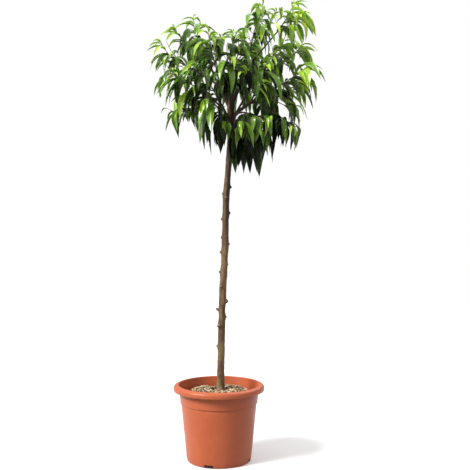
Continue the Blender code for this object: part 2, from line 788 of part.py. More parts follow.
def turned(name, profile, collection):
    """A profile of radius and height turned round the Z axis."""
    mesh = bpy.data.meshes.new(name)
    edges = [(k, k + 1) for k in range(len(profile) - 1)]
    mesh.from_pydata([(radius, 0.0, height) for radius, height in profile], edges, [])
    obj = new_object(name, mesh, collection)
    screw = obj.modifiers.new("turn", "SCREW")
    screw.steps = screw.render_steps = POT_STEPS
    screw.use_merge_vertices = True
    screw.merge_threshold = 1e-5
    screw.use_normal_calculate = True
    return obj


def make_pot(collection, cutters):
    pot = turned("pot", pot_profile(), collection)
    skin = pot.modifiers.new("wall", "SOLIDIFY")
    skin.thickness = POT_WALL
    skin.offset = 0.0
    skin.use_even_offset = True
    for k in range(NOTCH_COUNT):
        bearing = math.radians(NOTCH_START_DEG) + 2 * math.pi * k / NOTCH_COUNT
        bpy.ops.mesh.primitive_cube_add(
            size=1.0,
            location=(BASE_RADIUS * math.cos(bearing), BASE_RADIUS * math.sin(bearing), 0.0),
            rotation=(0.0, 0.0, bearing),
            scale=(2 * NOTCH_DEPTH, NOTCH_WIDTH, 2 * NOTCH_HEIGHT),
        )
        cutter = as_cutter(bpy.context.object)
        cutter.name = f"notch_cutter_{k}"
        bpy.context.collection.objects.unlink(cutter)
        cutters.objects.link(cutter)
        cut = pot.modifiers.new(f"notch_{k}", "BOOLEAN")
        cut.operation = "DIFFERENCE"
        cut.object = cutter
    return pot


def soil_profile():
    """The soil's outline inside the pot's wall, from the middle of its top to the middle below."""
    inside = 0.5 * POT_WALL + 2.2 * CLEARANCE
    edge_height = SOIL_HEIGHT - SOIL_EDGE_DROP
    floor = POT_WALL + CLEARANCE
    profile = [(0.0, SOIL_HEIGHT), (SOIL_FLAT_RADIUS, SOIL_HEIGHT)]
    profile.append((SOIL_SHOULDER_RADIUS, SOIL_HEIGHT - SOIL_SHOULDER_DROP))
    heights = (edge_height, STEP_HEIGHT + 2 * STEP_RISE)
    profile += [(wall_radius(height) - inside, height) for height in heights]
    profile += [
        (wall_radius(STEP_HEIGHT) - inside, STEP_HEIGHT + STEP_RISE),
        (wall_radius(NOTCH_HEIGHT) - NOTCH_DEPTH - POT_WALL, NOTCH_HEIGHT + STEP_RISE),
        (wall_radius(0.0) - NOTCH_DEPTH - POT_WALL, floor),
        (0.0, floor),
    ]
    return profile


def soil_fall(distance):
    """How far the soil's surface has sunk below its top at a distance from the middle."""
    radii = (SOIL_FLAT_RADIUS, SOIL_SHOULDER_RADIUS, wall_radius(SOIL_HEIGHT))
    return float(np.interp(distance, radii, (0.0, SOIL_SHOULDER_DROP, SOIL_EDGE_DROP)))


def make_soil(collection):
    """The soil with its larger chips half sunk in it."""
    soil = turned("soil", soil_profile(), collection)
    mesh = evaluated_mesh(soil)
    soil.modifiers.clear()
    soil.data = mesh
    chips = new_collection("soil_pieces")
    rng = np.random.default_rng(CHIP_SEED)
    for k in range(CHIP_COUNT):
        share = (k + 0.5) / CHIP_COUNT
        distance = between((CHIP_INNER_RADIUS, CHIP_OUTER_RADIUS), share**0.6)
        bearing = k * GOLDEN_ANGLE
        size = [side * rng.uniform(*CHIP_SIZE_SPREAD) for side in CHIP_SIZE]
        height = SOIL_HEIGHT - soil_fall(distance) + CHIP_LIFT
        tilt = rng.normal(0, CHIP_TILT, 2)
        bpy.ops.mesh.primitive_cube_add(
            size=1.0,
            location=(distance * math.cos(bearing), distance * math.sin(bearing), height),
            rotation=(*tilt, rng.uniform(0, math.pi)),
            scale=size,
        )
        chip = bpy.context.object
        bpy.context.collection.objects.unlink(chip)
        chips.objects.link(chip)
    join_all(soil, chips)
    return soil


# The tree's solids


def make_trunk(crown, collection):
    """The trunk with its pruned stubs fused on."""
    trunk = tube("trunk", crown.trunk, collection, resolution=TRUNK_RESOLUTION)
    stubs = new_collection("trunk_pieces")
    heights = crown.trunk.points[:, 2]
    for height, bearing_deg, length, radius in STUBS:
        centre = np.array([np.interp(height, heights, crown.trunk.points[:, k]) for k in range(3)])
        trunk_radius = np.interp(height, heights, crown.trunk.radii)
        bearing = math.radians(bearing_deg)
        out = np.array([math.cos(bearing), math.sin(bearing), 0.0])
        root = centre + out * STUB_ROOT_SHARE * trunk_radius
        end = centre + out * (trunk_radius + length) + UP * STUB_RISE * length
        radii = radius * np.array(STUB_TAPER)
        tube("stub", Limb(np.array([root, end]), radii), stubs, resolution=BOUGH_RESOLUTION)
    join_all(trunk, stubs)
    return trunk


def make_bough(name, crown, mass, collection):
    """A bough cut clear of the limb that it leaves."""
    bough = tube(name, crown.boughs[mass.name], collection, resolution=BOUGH_RESOLUTION)
    parent = crown.parent_of(mass)
    resolution = TRUNK_RESOLUTION if parent is crown.trunk else BOUGH_RESOLUTION
    cutter = tube("parent_cutter", parent, collection, resolution=resolution, grow=CLEARANCE)
    if not boolean(bough, "DIFFERENCE", "MANIFOLD", other=cutter):
        raise RuntimeError(f"{name} could not be cut from its parent")
    keep_largest_shell(bough.data)
    bpy.data.objects.remove(cutter)
    return bough


def leaf_mesh(corners, faces):
    mesh = bpy.data.meshes.new("leaf")
    mesh.from_pydata(corners, [], faces)
    return mesh


def make_mass(name, crown, index, section, collection):
    """One mass of leaves: stem, side twigs and leaves fused into one solid."""
    stem, *twigs = crown.shoots[MASSES[index].name]
    mass = tube(name, stem, collection, section=section)
    pieces = new_collection(name + "_pieces")
    for k, twig in enumerate(twigs):
        tube(f"twig_{k}", twig, pieces, section=section)
    for k, blade in enumerate(grow_leaves(crown, index)):
        new_object(f"leaf_{k}", leaf_mesh(*blade), pieces)
    join_all(mass, pieces)
    return mass


def finish(obj, material, plant, smooth=False):
    """Gives the piece its material, stands it on the plant's empty, and shades it smooth if asked."""
    obj.parent = plant
    obj.data.materials.clear()
    obj.data.materials.append(material)
    if smooth:
        obj.data.shade_smooth()
        obj.data.set_sharp_from_angle(angle=SHARP_ANGLE)


def main():
    clear_scene()
    tree = new_collection("potted_peach_tree")
    cutters = new_collection("cutters", hidden=True)
    plant = new_object("plant", None, tree)
    plastic = new_material("terracotta_plastic", (0.52, 0.15, 0.065), 0.45)
    earth = new_material("soil_and_chips", (0.21, 0.13, 0.075), 0.95)
    bark = new_material("bark", (0.20, 0.135, 0.085), 0.85)
    foliage = new_material("leaf_green", (0.085, 0.20, 0.035), 0.40)
    crown = Crown()
    finish(make_pot(tree, cutters), plastic, plant, smooth=True)
    finish(make_soil(tree), earth, plant)
    finish(make_trunk(crown, tree), bark, plant, smooth=True)
    section = triangle_section(cutters)
    for index, mass in enumerate(MASSES):
        finish(make_bough(f"bough_{mass.name}", crown, mass, tree), bark, plant, smooth=True)
        finish(make_mass(f"leaves_{mass.name}", crown, index, section, tree), foliage, plant)


main()
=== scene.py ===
"""The looks of the potted peach tree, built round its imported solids: a smooth moulded pot, soil
under loose wood chips, a stem and boughs with bark relief, and the leaves and twigs of every mass,
grown by the same seeded rule as the solids and then carried on to finer twigs. Metres, +Z up."""

import json
import math
from dataclasses import dataclass

import bpy
import numpy as np
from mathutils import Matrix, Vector, noise
from mathutils.bvhtree import BVHTree

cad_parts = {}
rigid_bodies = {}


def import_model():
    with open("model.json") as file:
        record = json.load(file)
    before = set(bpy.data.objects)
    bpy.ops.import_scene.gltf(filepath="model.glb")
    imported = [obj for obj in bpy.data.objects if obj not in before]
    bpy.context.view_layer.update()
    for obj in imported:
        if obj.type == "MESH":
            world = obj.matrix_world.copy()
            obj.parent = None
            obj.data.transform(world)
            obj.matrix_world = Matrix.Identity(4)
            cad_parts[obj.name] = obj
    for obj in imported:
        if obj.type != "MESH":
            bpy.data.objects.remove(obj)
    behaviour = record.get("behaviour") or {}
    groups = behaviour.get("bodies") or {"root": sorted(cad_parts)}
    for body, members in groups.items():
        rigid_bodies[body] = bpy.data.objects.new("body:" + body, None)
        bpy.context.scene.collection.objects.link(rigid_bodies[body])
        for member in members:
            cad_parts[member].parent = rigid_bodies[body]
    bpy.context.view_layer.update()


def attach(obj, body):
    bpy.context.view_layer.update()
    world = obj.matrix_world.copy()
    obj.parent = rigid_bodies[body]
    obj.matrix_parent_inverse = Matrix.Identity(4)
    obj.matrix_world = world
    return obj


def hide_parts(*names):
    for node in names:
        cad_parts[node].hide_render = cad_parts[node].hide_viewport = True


# Growth: down to grow_leaves, the values and the rule are those that made the solids

MILLIMETRE = 0.001
CLEARANCE = 0.0003
SOIL_HEIGHT = 0.2265

# Trunk: height, sideways lean and radius run from the soil to the fork. Wobble, sway and lumps
# are waves with so many radians over the height
TRUNK_TOP = 1.203
TRUNK_FOOT_X = 0.005
TRUNK_LEAN = 0.038
TRUNK_LEAN_POWER = 1.42
TRUNK_WOBBLE, WOBBLE_RADIANS = 0.0028, 17
SWAY_SHARE, SWAY_RADIANS, SWAY_START = 1.3, 11, 1.0
TRUNK_LUMPS = ((0.0005, 41), (0.0004, 67))
TRUNK_FOOT_RADIUS = 0.0126
TRUNK_TOP_RADIUS = 0.0098
TRUNK_TAPER_POWER = 0.7
TRUNK_TIP_SHARE = 0.8
FLARE_RADIUS = 0.0045
FLARE_HEIGHT = 0.016
FLARE_RINGS = (0.0, 0.35, 1.0)
FIRST_RING = 0.045
TRUNK_RINGS = 23

# Pruned stubs on the trunk: each is rooted inside it, rises as it goes out, and has a height, a
# bearing in degrees from +X, a length and a radius
STUB_ROOT_SHARE = 0.35
STUB_RISE = 0.7
STUBS = (
    (0.901, 0, 0.006, 0.0036),
    (0.880, 190, 0.004, 0.0036),
    (0.868, 262, 0.003, 0.0046),
    (0.815, 10, 0.006, 0.0034),
    (0.795, 175, 0.006, 0.0034),
    (0.735, 165, 0.004, 0.0034),
    (0.712, 20, 0.005, 0.0032),
    (0.686, 190, 0.006, 0.0036),
    (0.646, 330, 0.004, 0.0032),
    (0.619, 170, 0.007, 0.0028),
    (0.573, 235, 0.004, 0.0042),
    (0.523, 345, 0.010, 0.0046),
    (0.494, 185, 0.013, 0.0030),
    (0.473, 15, 0.004, 0.0046),
    (0.444, 225, 0.006, 0.0052),
    (0.374, 180, 0.006, 0.0032),
    (0.610, 60, 0.005, 0.0034),
    (0.770, 80, 0.005, 0.0036),
)

# Line of a limb: its slope in degrees where it leaves its parent, for a level reach and an
# upright one, and where it ends, for tips at the two heights, and how far each slope carries
LEAVING_SLOPES = (28, 62)
ENDING_SLOPES = (-8, 68)
ENDING_HEIGHTS = (1.09, 1.42)
LEAVING_REACH, ENDING_REACH = 0.36, 0.30
LINE_POINTS = 60

# Boughs: taper is the foot's radius gained for each metre of the whole line
BOUGH_SPACING = 0.055
BOUGH_TAPER = 0.0135
FOOT_RADIUS_SHARE = 0.66
FOOT_SWELL = 0.25
FOOT_SWELL_LENGTH = 0.012
BOUGH_TIP_RADIUS = 0.0024

# Shoots: the stem takes the last stretch of its bough's line, and its twigs leave it low down
LEAFY_LENGTH = 0.120
LEAFY_SHARE = 0.62
SHOOT_SPACING = 0.030
STEM_TIP_RADIUS = 0.0011
TWIG_FOOT_RADIUS = 0.0020
FIRST_TWIG_AT, TWIG_STEP = 0.16, 0.14

# Leaves: shape of the blade, as shares of its length, and where it is cut into sections
LEAF_WIDTH_SHARES = (0.24, 0.205)
LEAF_THICKNESS_SHARE = 0.013
LEAF_FOLD = 0.10
PETIOLE_SHARE = 0.07
OUTLINE_POWER = 0.75
BLADE_STATIONS = (0.0, 0.34, 0.70, 1.0)
TEST_STATIONS = (0.14, 0.28, 0.42, 0.56, 0.70, 0.85, 1.0)
CURVE_STEPS = 32
BEND_POWER = 1.35

# Growth: a leaf every so far along a shoot, each turned on by the golden angle. Past the share
# where youth starts, leaves grow shorter and steeper, and between the two heights they go from
# hanging to arching
LEAF_SPACING = 0.0098
FEWEST_LEAVES = 5
LEAFY_FROM, LEAFY_TO = 0.10, 0.98
GOLDEN_ANGLE = math.radians(137.5)
YOUTH_FROM = 0.78
FRESH_FROM = YOUTH_FROM - 0.2
HANGING_HEIGHTS = (1.10, 1.34)
LIFTS = (-0.15, 0.24)
SAG_SHARES = (0.60, 1.00)
SPREAD_DEG, YOUNG_SPREAD_DEG, SPREAD_DRIFT_DEG = 58, 28, 12
STEEPEST_START = (-0.5, 0.96)
TIP_DROPS_DEG = (66, 110)
YOUNG_TIP_RISE_DEG = 62
LEAST_TURN_DEG = 12
YOUNG_LENGTH_LOSS = 0.5
LENGTH_SPREAD = (0.86, 1.10)
WIDTH_SPREAD = (0.88, 1.12)
ROLL_LIMIT = 1.1
TURN_DRIFT = 0.22
ROOT_SINK = 0.0002
LEAF_SEED = 113
CROWN_TOP = 1.523

# A leaf that finds no room is drawn again, turned on and a little shorter
TRIES = 16
RETRY_TURN = 0.9
RETRY_LENGTH_LOSS = 0.02

# Openings, each a place in millimetres across and up in the middle plane, and a radius: leaves
# stay out of them all along the line of sight from the front
OPENINGS = np.array([
    (-103, 1087, 27), (-176, 1146, 10), (282, 1103, 17), (268, 1146, 10), (10, 1441, 20),
    (40, 1448, 20), (66, 1451, 20), (73, 1481, 20), (-169, 1465, 20), (-192, 1428, 15),
    (-33, 1455, 17), (-229, 1398, 15), (-123, 1475, 15), (222, 1282, 15), (212, 1143, 13),
    (-43, 1398, 10), (204, 1445, 8), (-126, 1299, 9), (259, 1325, 8), (98, 1383, 8), (229, 1488, 7),
    (179, 1514, 14), (-186, 1349, 8), (-93, 1425, 8), (66, 1329, 8), (341, 1226, 12),
    (335, 1339, 13), (322, 1455, 15), (-229, 1229, 15), (93, 1504, 17), (205, 984, 20),
    (-182, 1209, 10), (36, 1143, 11), (36, 1166, 10), (36, 1120, 9),
]) * MILLIMETRE
VIEW_PLACE = (0.053, -2.370, 0.742)

# Space between masses, round a limb and between the leaves of one mass
MASS_GAP = 0.0024
LIMB_GAP = 0.0010
MASS_REACH = 0.165
HEART_DROP = 0.038
HEARTS_AT = (0.45, 1.0)
LIMB_TEST_SIDES = 6

UP = np.array([0.0, 0.0, 1.0])
SIDEWAYS = np.array([0.31, 0.17, 0.93])


@dataclass
class Mass:
    """One mass of leaves, the bough that carries it and where that bough leaves its parent."""

    name: str
    parent: str
    at: float
    tips: tuple
    leaf: float


# Each mass: the limb that its bough leaves, how far along it, the tips of its stem and side
# twigs in millimetres, and the length of its full-grown leaves
MASSES = (
    Mass("left_leader", "trunk", 0.955, ((-82, 20, 1446), (-134, -15, 1402)), 0.122),
    Mass("right_leader", "trunk", 0.97, ((142, 0, 1497), (172, -70, 1432)), 0.122),
    Mass("centre_top", "trunk", 1.0, ((45, -15, 1386), (75, -70, 1358)), 0.122),
    Mass("right_far", "trunk", 0.92, ((285, -29, 1289), (253, 44, 1252)), 0.128),
    Mass("back_centre", "trunk", 0.93, ((65, 205, 1285), (0, 195, 1350)), 0.125),
    Mass("centre_front", "trunk", 0.945, ((28, -135, 1300), (84, -140, 1238), (-16, -128, 1256)), 0.140),
    Mass("right_front", "trunk", 0.90, ((150, -165, 1265), (115, -155, 1205)), 0.142),
    Mass("left_mid", "trunk", 0.905, ((-62, -145, 1262), (-98, -80, 1210)), 0.136),
    Mass("back_left_low", "trunk", 0.89, ((-58, 154, 1233), (-111, 101, 1210)), 0.136),
    Mass("low_right", "trunk", 0.865, ((172, -35, 1108), (138, -62, 1076)), 0.160),
    Mass("back_low", "trunk", 0.875, ((75, 130, 1145), (0, 125, 1170)), 0.140),
    Mass("centre_low", "trunk", 0.885, ((-32, -130, 1166), (18, -95, 1102)), 0.150),
    Mass("low_trunk", "trunk", 0.835, ((115, 25, 1072), (66, -20, 1084)), 0.160),
    Mass("left_far", "left_leader", 0.42, ((-184, 0, 1364), (-154, -40, 1340)), 0.108),
    Mass("left_front", "left_leader", 0.30, ((-28, -155, 1356), (4, -108, 1342)), 0.118),
    Mass("back_left_top", "left_leader", 0.22, ((-25, 140, 1420), (-125, 105, 1320)), 0.120),
    Mass("left_low", "left_mid", 0.45, ((-166, 0, 1294), (-136, -100, 1244)), 0.122),
    Mass("left_bottom", "back_left_low", 0.40, ((-154, 22, 1156), (-98, 50, 1204)), 0.106),
    Mass("centre_deep", "right_leader", 0.44, ((108, 45, 1345), (78, 56, 1292)), 0.126),
    Mass("back_centre_top", "centre_top", 0.18, ((66, 170, 1428), (140, 130, 1444)), 0.122),
    Mass("right_crest", "right_leader", 0.52, ((243, 10, 1500), (262, -35, 1446)), 0.124),
    Mass("right_upper", "right_leader", 0.36, ((270, 0, 1366), (213, 34, 1350)), 0.122),
    Mass("back_right_top", "right_leader", 0.24, ((228, 126, 1435), (184, 186, 1345)), 0.134),
    Mass("right_low", "right_far", 0.35, ((222, -30, 1190), (240, 10, 1168)), 0.128),
    Mass("front_low", "right_front", 0.30, ((145, -148, 1100), (78, -162, 1088)), 0.098),
    Mass("back_right_low", "right_far", 0.22, ((193, 154, 1242), (240, 109, 1234)), 0.140),
    Mass("right_bottom", "right_low", 0.50, ((240, -60, 1092), (220, -95, 1088)), 0.116),
)


@dataclass
class Limb:
    """A tapering round limb along its centre line."""

    points: np.ndarray
    radii: np.ndarray

    def at(self, share):
        """The point and direction a share of the way along the centre line."""
        steps = np.linalg.norm(np.diff(self.points, axis=0), axis=1)
        along = np.concatenate([[0.0], np.cumsum(steps)]) / steps.sum()
        point = np.array([np.interp(share, along, self.points[:, k]) for k in range(3)])
        index = min(int(np.searchsorted(along, share, side="right")), len(steps)) - 1
        return point, unit(self.points[index + 1] - self.points[index])

    def radius_at(self, share):
        """The radius a share of the way along, by point count."""
        return float(np.interp(share, np.linspace(0, 1, len(self.radii)), self.radii))


@dataclass
class Leaf:
    """A blade that leaves its twig at a pitch and bends down in the upright plane of its bearing."""

    root: np.ndarray
    bearing: float
    pitch: float
    turn: float
    sag: float
    roll: float
    length: float
    width: float


def unit(vector):
    """The vector's direction, at length 1."""
    return vector / np.linalg.norm(vector)


def between(ends, share):
    """The value a share of the way from the first of two ends to the second."""
    return ends[0] + (ends[1] - ends[0]) * share


def smooth_share(value, low, high):
    """0 below low and 1 above high, with a smooth rise between."""
    share = min(max((value - low) / (high - low), 0.0), 1.0)
    return share * share * (3 - 2 * share)


def resampled(points, count):
    """The same line with evenly spaced points."""
    steps = np.linalg.norm(np.diff(points, axis=0), axis=1)
    along = np.concatenate([[0.0], np.cumsum(steps)])
    wanted = np.linspace(0.0, along[-1], count)
    return np.stack([np.interp(wanted, along, points[:, k]) for k in range(3)], axis=1)


def length_of(points):
    """The length of the line through the points."""
    return float(np.linalg.norm(np.diff(points, axis=0), axis=1).sum())


def spaced(points, spacing):
    """The same line with a point about every spacing, and at least four."""
    return resampled(points, max(4, int(round(length_of(points) / spacing)) + 1))


# Limbs


def trunk_limb():
    """The trunk from its flat foot on the soil to the fork, with its lean, wobble and root flare."""
    foot = SOIL_HEIGHT + CLEARANCE
    heights = np.concatenate([
        foot + FLARE_HEIGHT * np.array(FLARE_RINGS),
        np.linspace(foot + FIRST_RING, TRUNK_TOP, TRUNK_RINGS),
    ])
    share = (heights - foot) / (TRUNK_TOP - foot)
    lean = TRUNK_FOOT_X + TRUNK_LEAN * share**TRUNK_LEAN_POWER
    sway = np.sin(SWAY_RADIANS * share + SWAY_START) - math.sin(SWAY_START)
    points = np.stack([
        lean + TRUNK_WOBBLE * np.sin(WOBBLE_RADIANS * share) * share,
        SWAY_SHARE * TRUNK_WOBBLE * sway,
        heights,
    ], axis=1)
    points[1, :2] = points[0, :2]
    radii = between((TRUNK_FOOT_RADIUS, TRUNK_TOP_RADIUS), share**TRUNK_TAPER_POWER)
    radii = radii + FLARE_RADIUS * np.exp(-(heights - foot) / (0.5 * FLARE_HEIGHT))
    for size, radians in TRUNK_LUMPS:
        radii = radii + size * np.sin(radians * share)
    radii[-1] *= TRUNK_TIP_SHARE
    return Limb(points, radii)


def bezier(p0, p1, p2, p3, count):
    """Points of the curve from the first point to the last, drawn by the two handles between."""
    t = np.linspace(0.0, 1.0, count)[:, None]
    return (1 - t) ** 3 * p0 + 3 * (1 - t) ** 2 * t * p1 + 3 * (1 - t) * t**2 * p2 + t**3 * p3


def limb_line(start, tip):
    """A limb's line from its parent's centre: outwards first, then up, or level if it is low."""
    reach = tip - start
    distance = np.linalg.norm(reach)
    outward = unit(np.array([reach[0], reach[1], 0.0]) + 1e-9)
    climb = reach[2] / distance
    first = math.radians(between(LEAVING_SLOPES, climb))
    last = math.radians(between(ENDING_SLOPES, smooth_share(tip[2], *ENDING_HEIGHTS)))
    leave = outward * math.cos(first) + UP * math.sin(first)
    arrive = outward * math.cos(last) + UP * math.sin(last)
    start_handle = start + LEAVING_REACH * distance * leave
    tip_handle = tip - ENDING_REACH * distance * arrive
    return bezier(start, start_handle, tip_handle, tip, LINE_POINTS)


def bough_and_stem(parent, mass):
    """The woody bough and, past its tip, the leafy stem of its mass, as one line cut in two."""
    start, _ = parent.at(mass.at)
    tip = np.array(mass.tips[0]) * MILLIMETRE
    steps = 4 * LINE_POINTS
    line = resampled(limb_line(start, tip), steps + 1)
    total = length_of(line)
    leafy = min(LEAFY_LENGTH, LEAFY_SHARE * total)
    cut = int(round((1 - leafy / total) * steps))
    wood = line[: cut + 1]
    foot_radius = min(
        BOUGH_TIP_RADIUS + BOUGH_TAPER * total, FOOT_RADIUS_SHARE * parent.radius_at(mass.at)
    )
    count = max(4, int(round(length_of(wood) / BOUGH_SPACING)) + 2)
    points = resampled(wood, count)
    radii = np.linspace(foot_radius, BOUGH_TIP_RADIUS, count)
    swell = FOOT_SWELL * np.exp(-np.linspace(0, length_of(wood), count) / FOOT_SWELL_LENGTH)
    bough = Limb(points, radii * (1 + swell))
    facing = unit(points[-1] - points[-2])
    green = line[cut:] + facing * CLEARANCE
    points = spaced(green, SHOOT_SPACING)
    points[1] = points[0] + facing * np.linalg.norm(points[1] - points[0])
    stem = Limb(points, np.linspace(BOUGH_TIP_RADIUS, STEM_TIP_RADIUS, len(points)))
    return bough, stem


def side_twig(stem, tip, order):
    """A side twig that leaves the stem low down and heads for its own tip."""
    start, _ = stem.at(FIRST_TWIG_AT + TWIG_STEP * order)
    points = spaced(limb_line(start, np.array(tip) * MILLIMETRE), SHOOT_SPACING)
    return Limb(points, np.linspace(TWIG_FOOT_RADIUS, STEM_TIP_RADIUS, len(points)))


def way_out(axis, angle):
    """The way out of a limb, square to its axis, at an angle round it."""
    level = unit(np.cross(axis, SIDEWAYS))
    other = np.cross(axis, level)
    return level * math.cos(angle) + other * math.sin(angle)


def limb_tree(limb, grow):
    """A search tree of a limb's skin, made thicker by grow, to find what crosses the limb."""
    corners = []
    for k, (point, radius) in enumerate(zip(limb.points, limb.radii)):
        before, after = max(k - 1, 0), min(k + 1, len(limb.points) - 1)
        axis = unit(limb.points[after] - limb.points[before])
        for side in range(LIMB_TEST_SIDES):
            out = way_out(axis, 2 * math.pi * side / LIMB_TEST_SIDES)
            corners.append(point + (radius + grow) * out)
    return BVHTree.FromPolygons(corners, grid_faces(len(limb.points), LIMB_TEST_SIDES))


# Leaves


def blade_frames(leaf, stations):
    """The blade's centre line with its sideways and upward directions, at shares of its length."""
    fine = np.linspace(0.0, 1.0, CURVE_STEPS + 1)
    slope = leaf.pitch - leaf.turn * (1 - np.maximum(1 - fine / leaf.sag, 0.0) ** BEND_POWER)
    middle = (slope[1:] + slope[:-1]) / 2
    step = leaf.length / CURVE_STEPS
    run = np.concatenate([[0.0], np.cumsum(np.cos(middle))]) * step
    rise = np.concatenate([[0.0], np.cumsum(np.sin(middle))]) * step
    run, rise, slope = (np.interp(stations, fine, value)[:, None] for value in (run, rise, slope))
    ahead = np.array([math.cos(leaf.bearing), math.sin(leaf.bearing), 0.0])
    across = np.array([-math.sin(leaf.bearing), math.cos(leaf.bearing), 0.0])
    centre = leaf.root + run * ahead + rise * UP
    forward = np.cos(slope) * ahead + np.sin(slope) * UP
    roll = leaf.roll * np.asarray(stations)[:, None]
    side = across * np.cos(roll) + np.cross(forward, across) * np.sin(roll)
    return centre, side, np.cross(forward, side)


def half_width(leaf, stations):
    """Half the blade's width: a lance shape, widest before the middle, with a long fine tip."""
    blade = np.clip((np.asarray(stations) - PETIOLE_SHARE) / (1 - PETIOLE_SHARE), 0.0, 1.0)
    return 0.5 * leaf.width * np.sin(math.pi * blade**OUTLINE_POWER)


def blade_samples(leaf, stations):
    """Points on the blade's centre line and on both its edges."""
    centre, side, _ = blade_frames(leaf, stations)
    half = half_width(leaf, stations)[:, None]
    return np.concatenate([centre, centre + side * half, centre - side * half])


def draw_leaf(rng, shoot, share, turn_round, mass, attempt, youth=None, size=1.0):
    """A leaf drawn for one node of a shoot: short and upright near the tip, long and arched below.
    Leaves low in the crown leave their shoot lower and hang sooner."""
    root, axis = shoot.at(share)
    out = way_out(axis, turn_round + rng.normal(0.0, TURN_DRIFT) + RETRY_TURN * attempt)
    youth = smooth_share(share, YOUTH_FROM, 1.0) if youth is None else youth
    height = smooth_share(MILLIMETRE * mass.tips[0][2], *HANGING_HEIGHTS)
    usual_spread = between((SPREAD_DEG, YOUNG_SPREAD_DEG), youth)
    spread = math.radians(usual_spread + rng.normal(0.0, SPREAD_DRIFT_DEG))
    lift = between(LIFTS, max(height, youth))
    start = unit(axis * math.cos(spread) + out * math.sin(spread) + lift * UP)
    pitch = math.asin(np.clip(start[2], *STEEPEST_START))
    end = -math.radians(rng.uniform(*TIP_DROPS_DEG) - YOUNG_TIP_RISE_DEG * youth * height)
    length = mass.leaf * (1 - YOUNG_LENGTH_LOSS * youth) * rng.uniform(*LENGTH_SPREAD)
    length *= size * (1 - RETRY_LENGTH_LOSS * attempt)
    return Leaf(
        root=root - ROOT_SINK * start,
        bearing=math.atan2(start[1], start[0]),
        pitch=pitch,
        turn=max(pitch - end, math.radians(LEAST_TURN_DEG)),
        sag=between(SAG_SHARES, height),
        roll=rng.uniform(-ROLL_LIMIT, ROLL_LIMIT),
        length=length,
        width=length * between(LEAF_WIDTH_SHARES, height) * rng.uniform(*WIDTH_SPREAD),
    )


class Crown:
    """The limbs and the hearts of the masses: what says where each mass's own space ends."""

    def __init__(self):
        self.trunk = trunk_limb()
        self.boughs, self.shoots = {}, {}
        for mass in MASSES:
            bough, stem = bough_and_stem(self.parent_of(mass), mass)
            twigs = [side_twig(stem, tip, k) for k, tip in enumerate(mass.tips[1:])]
            self.boughs[mass.name] = bough
            self.shoots[mass.name] = [stem, *twigs]
        self.limb_trees = [limb_tree(limb, LIMB_GAP) for limb in (self.trunk, *self.boughs.values())]
        self.shoot_trees = {
            name: [limb_tree(shoot, LIMB_GAP) for shoot in shoots]
            for name, shoots in self.shoots.items()
        }
        self.grown = {}
        hearts = [
            (index, shoot.at(share)[0] - HEART_DROP * UP)
            for index, mass in enumerate(MASSES)
            for shoot in self.shoots[mass.name]
            for share in HEARTS_AT
        ]
        self.owners = np.array([index for index, _ in hearts])
        self.hearts = np.array([point for _, point in hearts])

    def parent_of(self, mass):
        """The limb that the mass's bough leaves."""
        return self.trunk if mass.parent == "trunk" else self.boughs[mass.parent]

    def in_own_space(self, index, points):
        """True where every point is nearer to this mass's hearts than to any other mass's."""
        apart = np.linalg.norm(points[:, None] - self.hearts[None], axis=2)
        own = apart[:, self.owners == index].min(axis=1)
        others = apart[:, self.owners != index].min(axis=1)
        return bool(((own + MASS_GAP < others) & (own < MASS_REACH)).all())

    def obstacles(self, name):
        """The search trees of all that a leaf of this mass may not cross."""
        others = [trees for other, trees in self.shoot_trees.items() if other != name]
        return [*self.limb_trees, *self.grown.values(), *(tree for trees in others for tree in trees)]

    def settle(self, name, leaves):
        """Makes these leaves of a mass something that the leaves of other masses may not cross."""
        corners, faces = [], []
        for leaf, _ in leaves:
            add_mesh(corners, faces, *blade_solid(leaf))
        self.grown[name] = BVHTree.FromPolygons(corners, faces)


def in_opening(points):
    """True where any point lies in one of the crown's openings."""
    share = VIEW_PLACE[1] / (VIEW_PLACE[1] - points[:, 1:2])
    seen = VIEW_PLACE[::2] + (points[:, ::2] - VIEW_PLACE[::2]) * share
    apart = np.linalg.norm(seen[:, None] - OPENINGS[None, :, :2], axis=2)
    return bool((apart < OPENINGS[:, 2]).any())


def blade_solid(leaf):
    """The corners and faces of a leaf: sections of two edges and a keel, between root and tip. Its
    walls are split along the diagonals that follow the roll, so that they bulge out and never cross."""
    centre, side, up = blade_frames(leaf, BLADE_STATIONS)
    half = half_width(leaf, BLADE_STATIONS)
    corners = [centre[0]]
    for k in range(1, len(BLADE_STATIONS) - 1):
        fold = up[k] * LEAF_FOLD * half[k]
        corners += [centre[k] + side[k] * half[k] + fold, centre[k] - side[k] * half[k] + fold]
        corners.append(centre[k] - up[k] * LEAF_THICKNESS_SHARE * leaf.length)
    corners.append(centre[-1])
    tip = len(corners) - 1
    faces = []
    for k in range(3):
        after = (k + 1) % 3
        faces.append((0, 1 + after, 1 + k))
        if leaf.roll < 0:
            faces += [(1 + k, 4 + after, 4 + k), (1 + k, 1 + after, 4 + after)]
        else:
            faces += [(1 + k, 1 + after, 4 + k), (1 + after, 4 + after, 4 + k)]
        faces.append((4 + k, 4 + after, tip))
    return [tuple(corner) for corner in corners], faces


def add_mesh(corners, faces, more_corners, more_faces):
    """Adds the corners and faces of one mesh to the lists of another."""
    faces += [[len(corners) + corner for corner in face] for face in more_faces]
    corners += list(more_corners)


def placed_leaf(crown, index, obstacles, draw):
    """The first leaf drawn that keeps to the mass's space and crosses nothing, or None."""
    for attempt in range(TRIES):
        leaf = draw(attempt)
        samples = blade_samples(leaf, TEST_STATIONS)
        if samples[:, 2].max() > CROWN_TOP or in_opening(samples):
            continue
        if not crown.in_own_space(index, samples):
            continue
        tree = BVHTree.FromPolygons(*blade_solid(leaf))
        if any(tree.overlap(obstacle) for obstacle in obstacles):
            continue
        obstacles.append(tree)
        return leaf
    return None


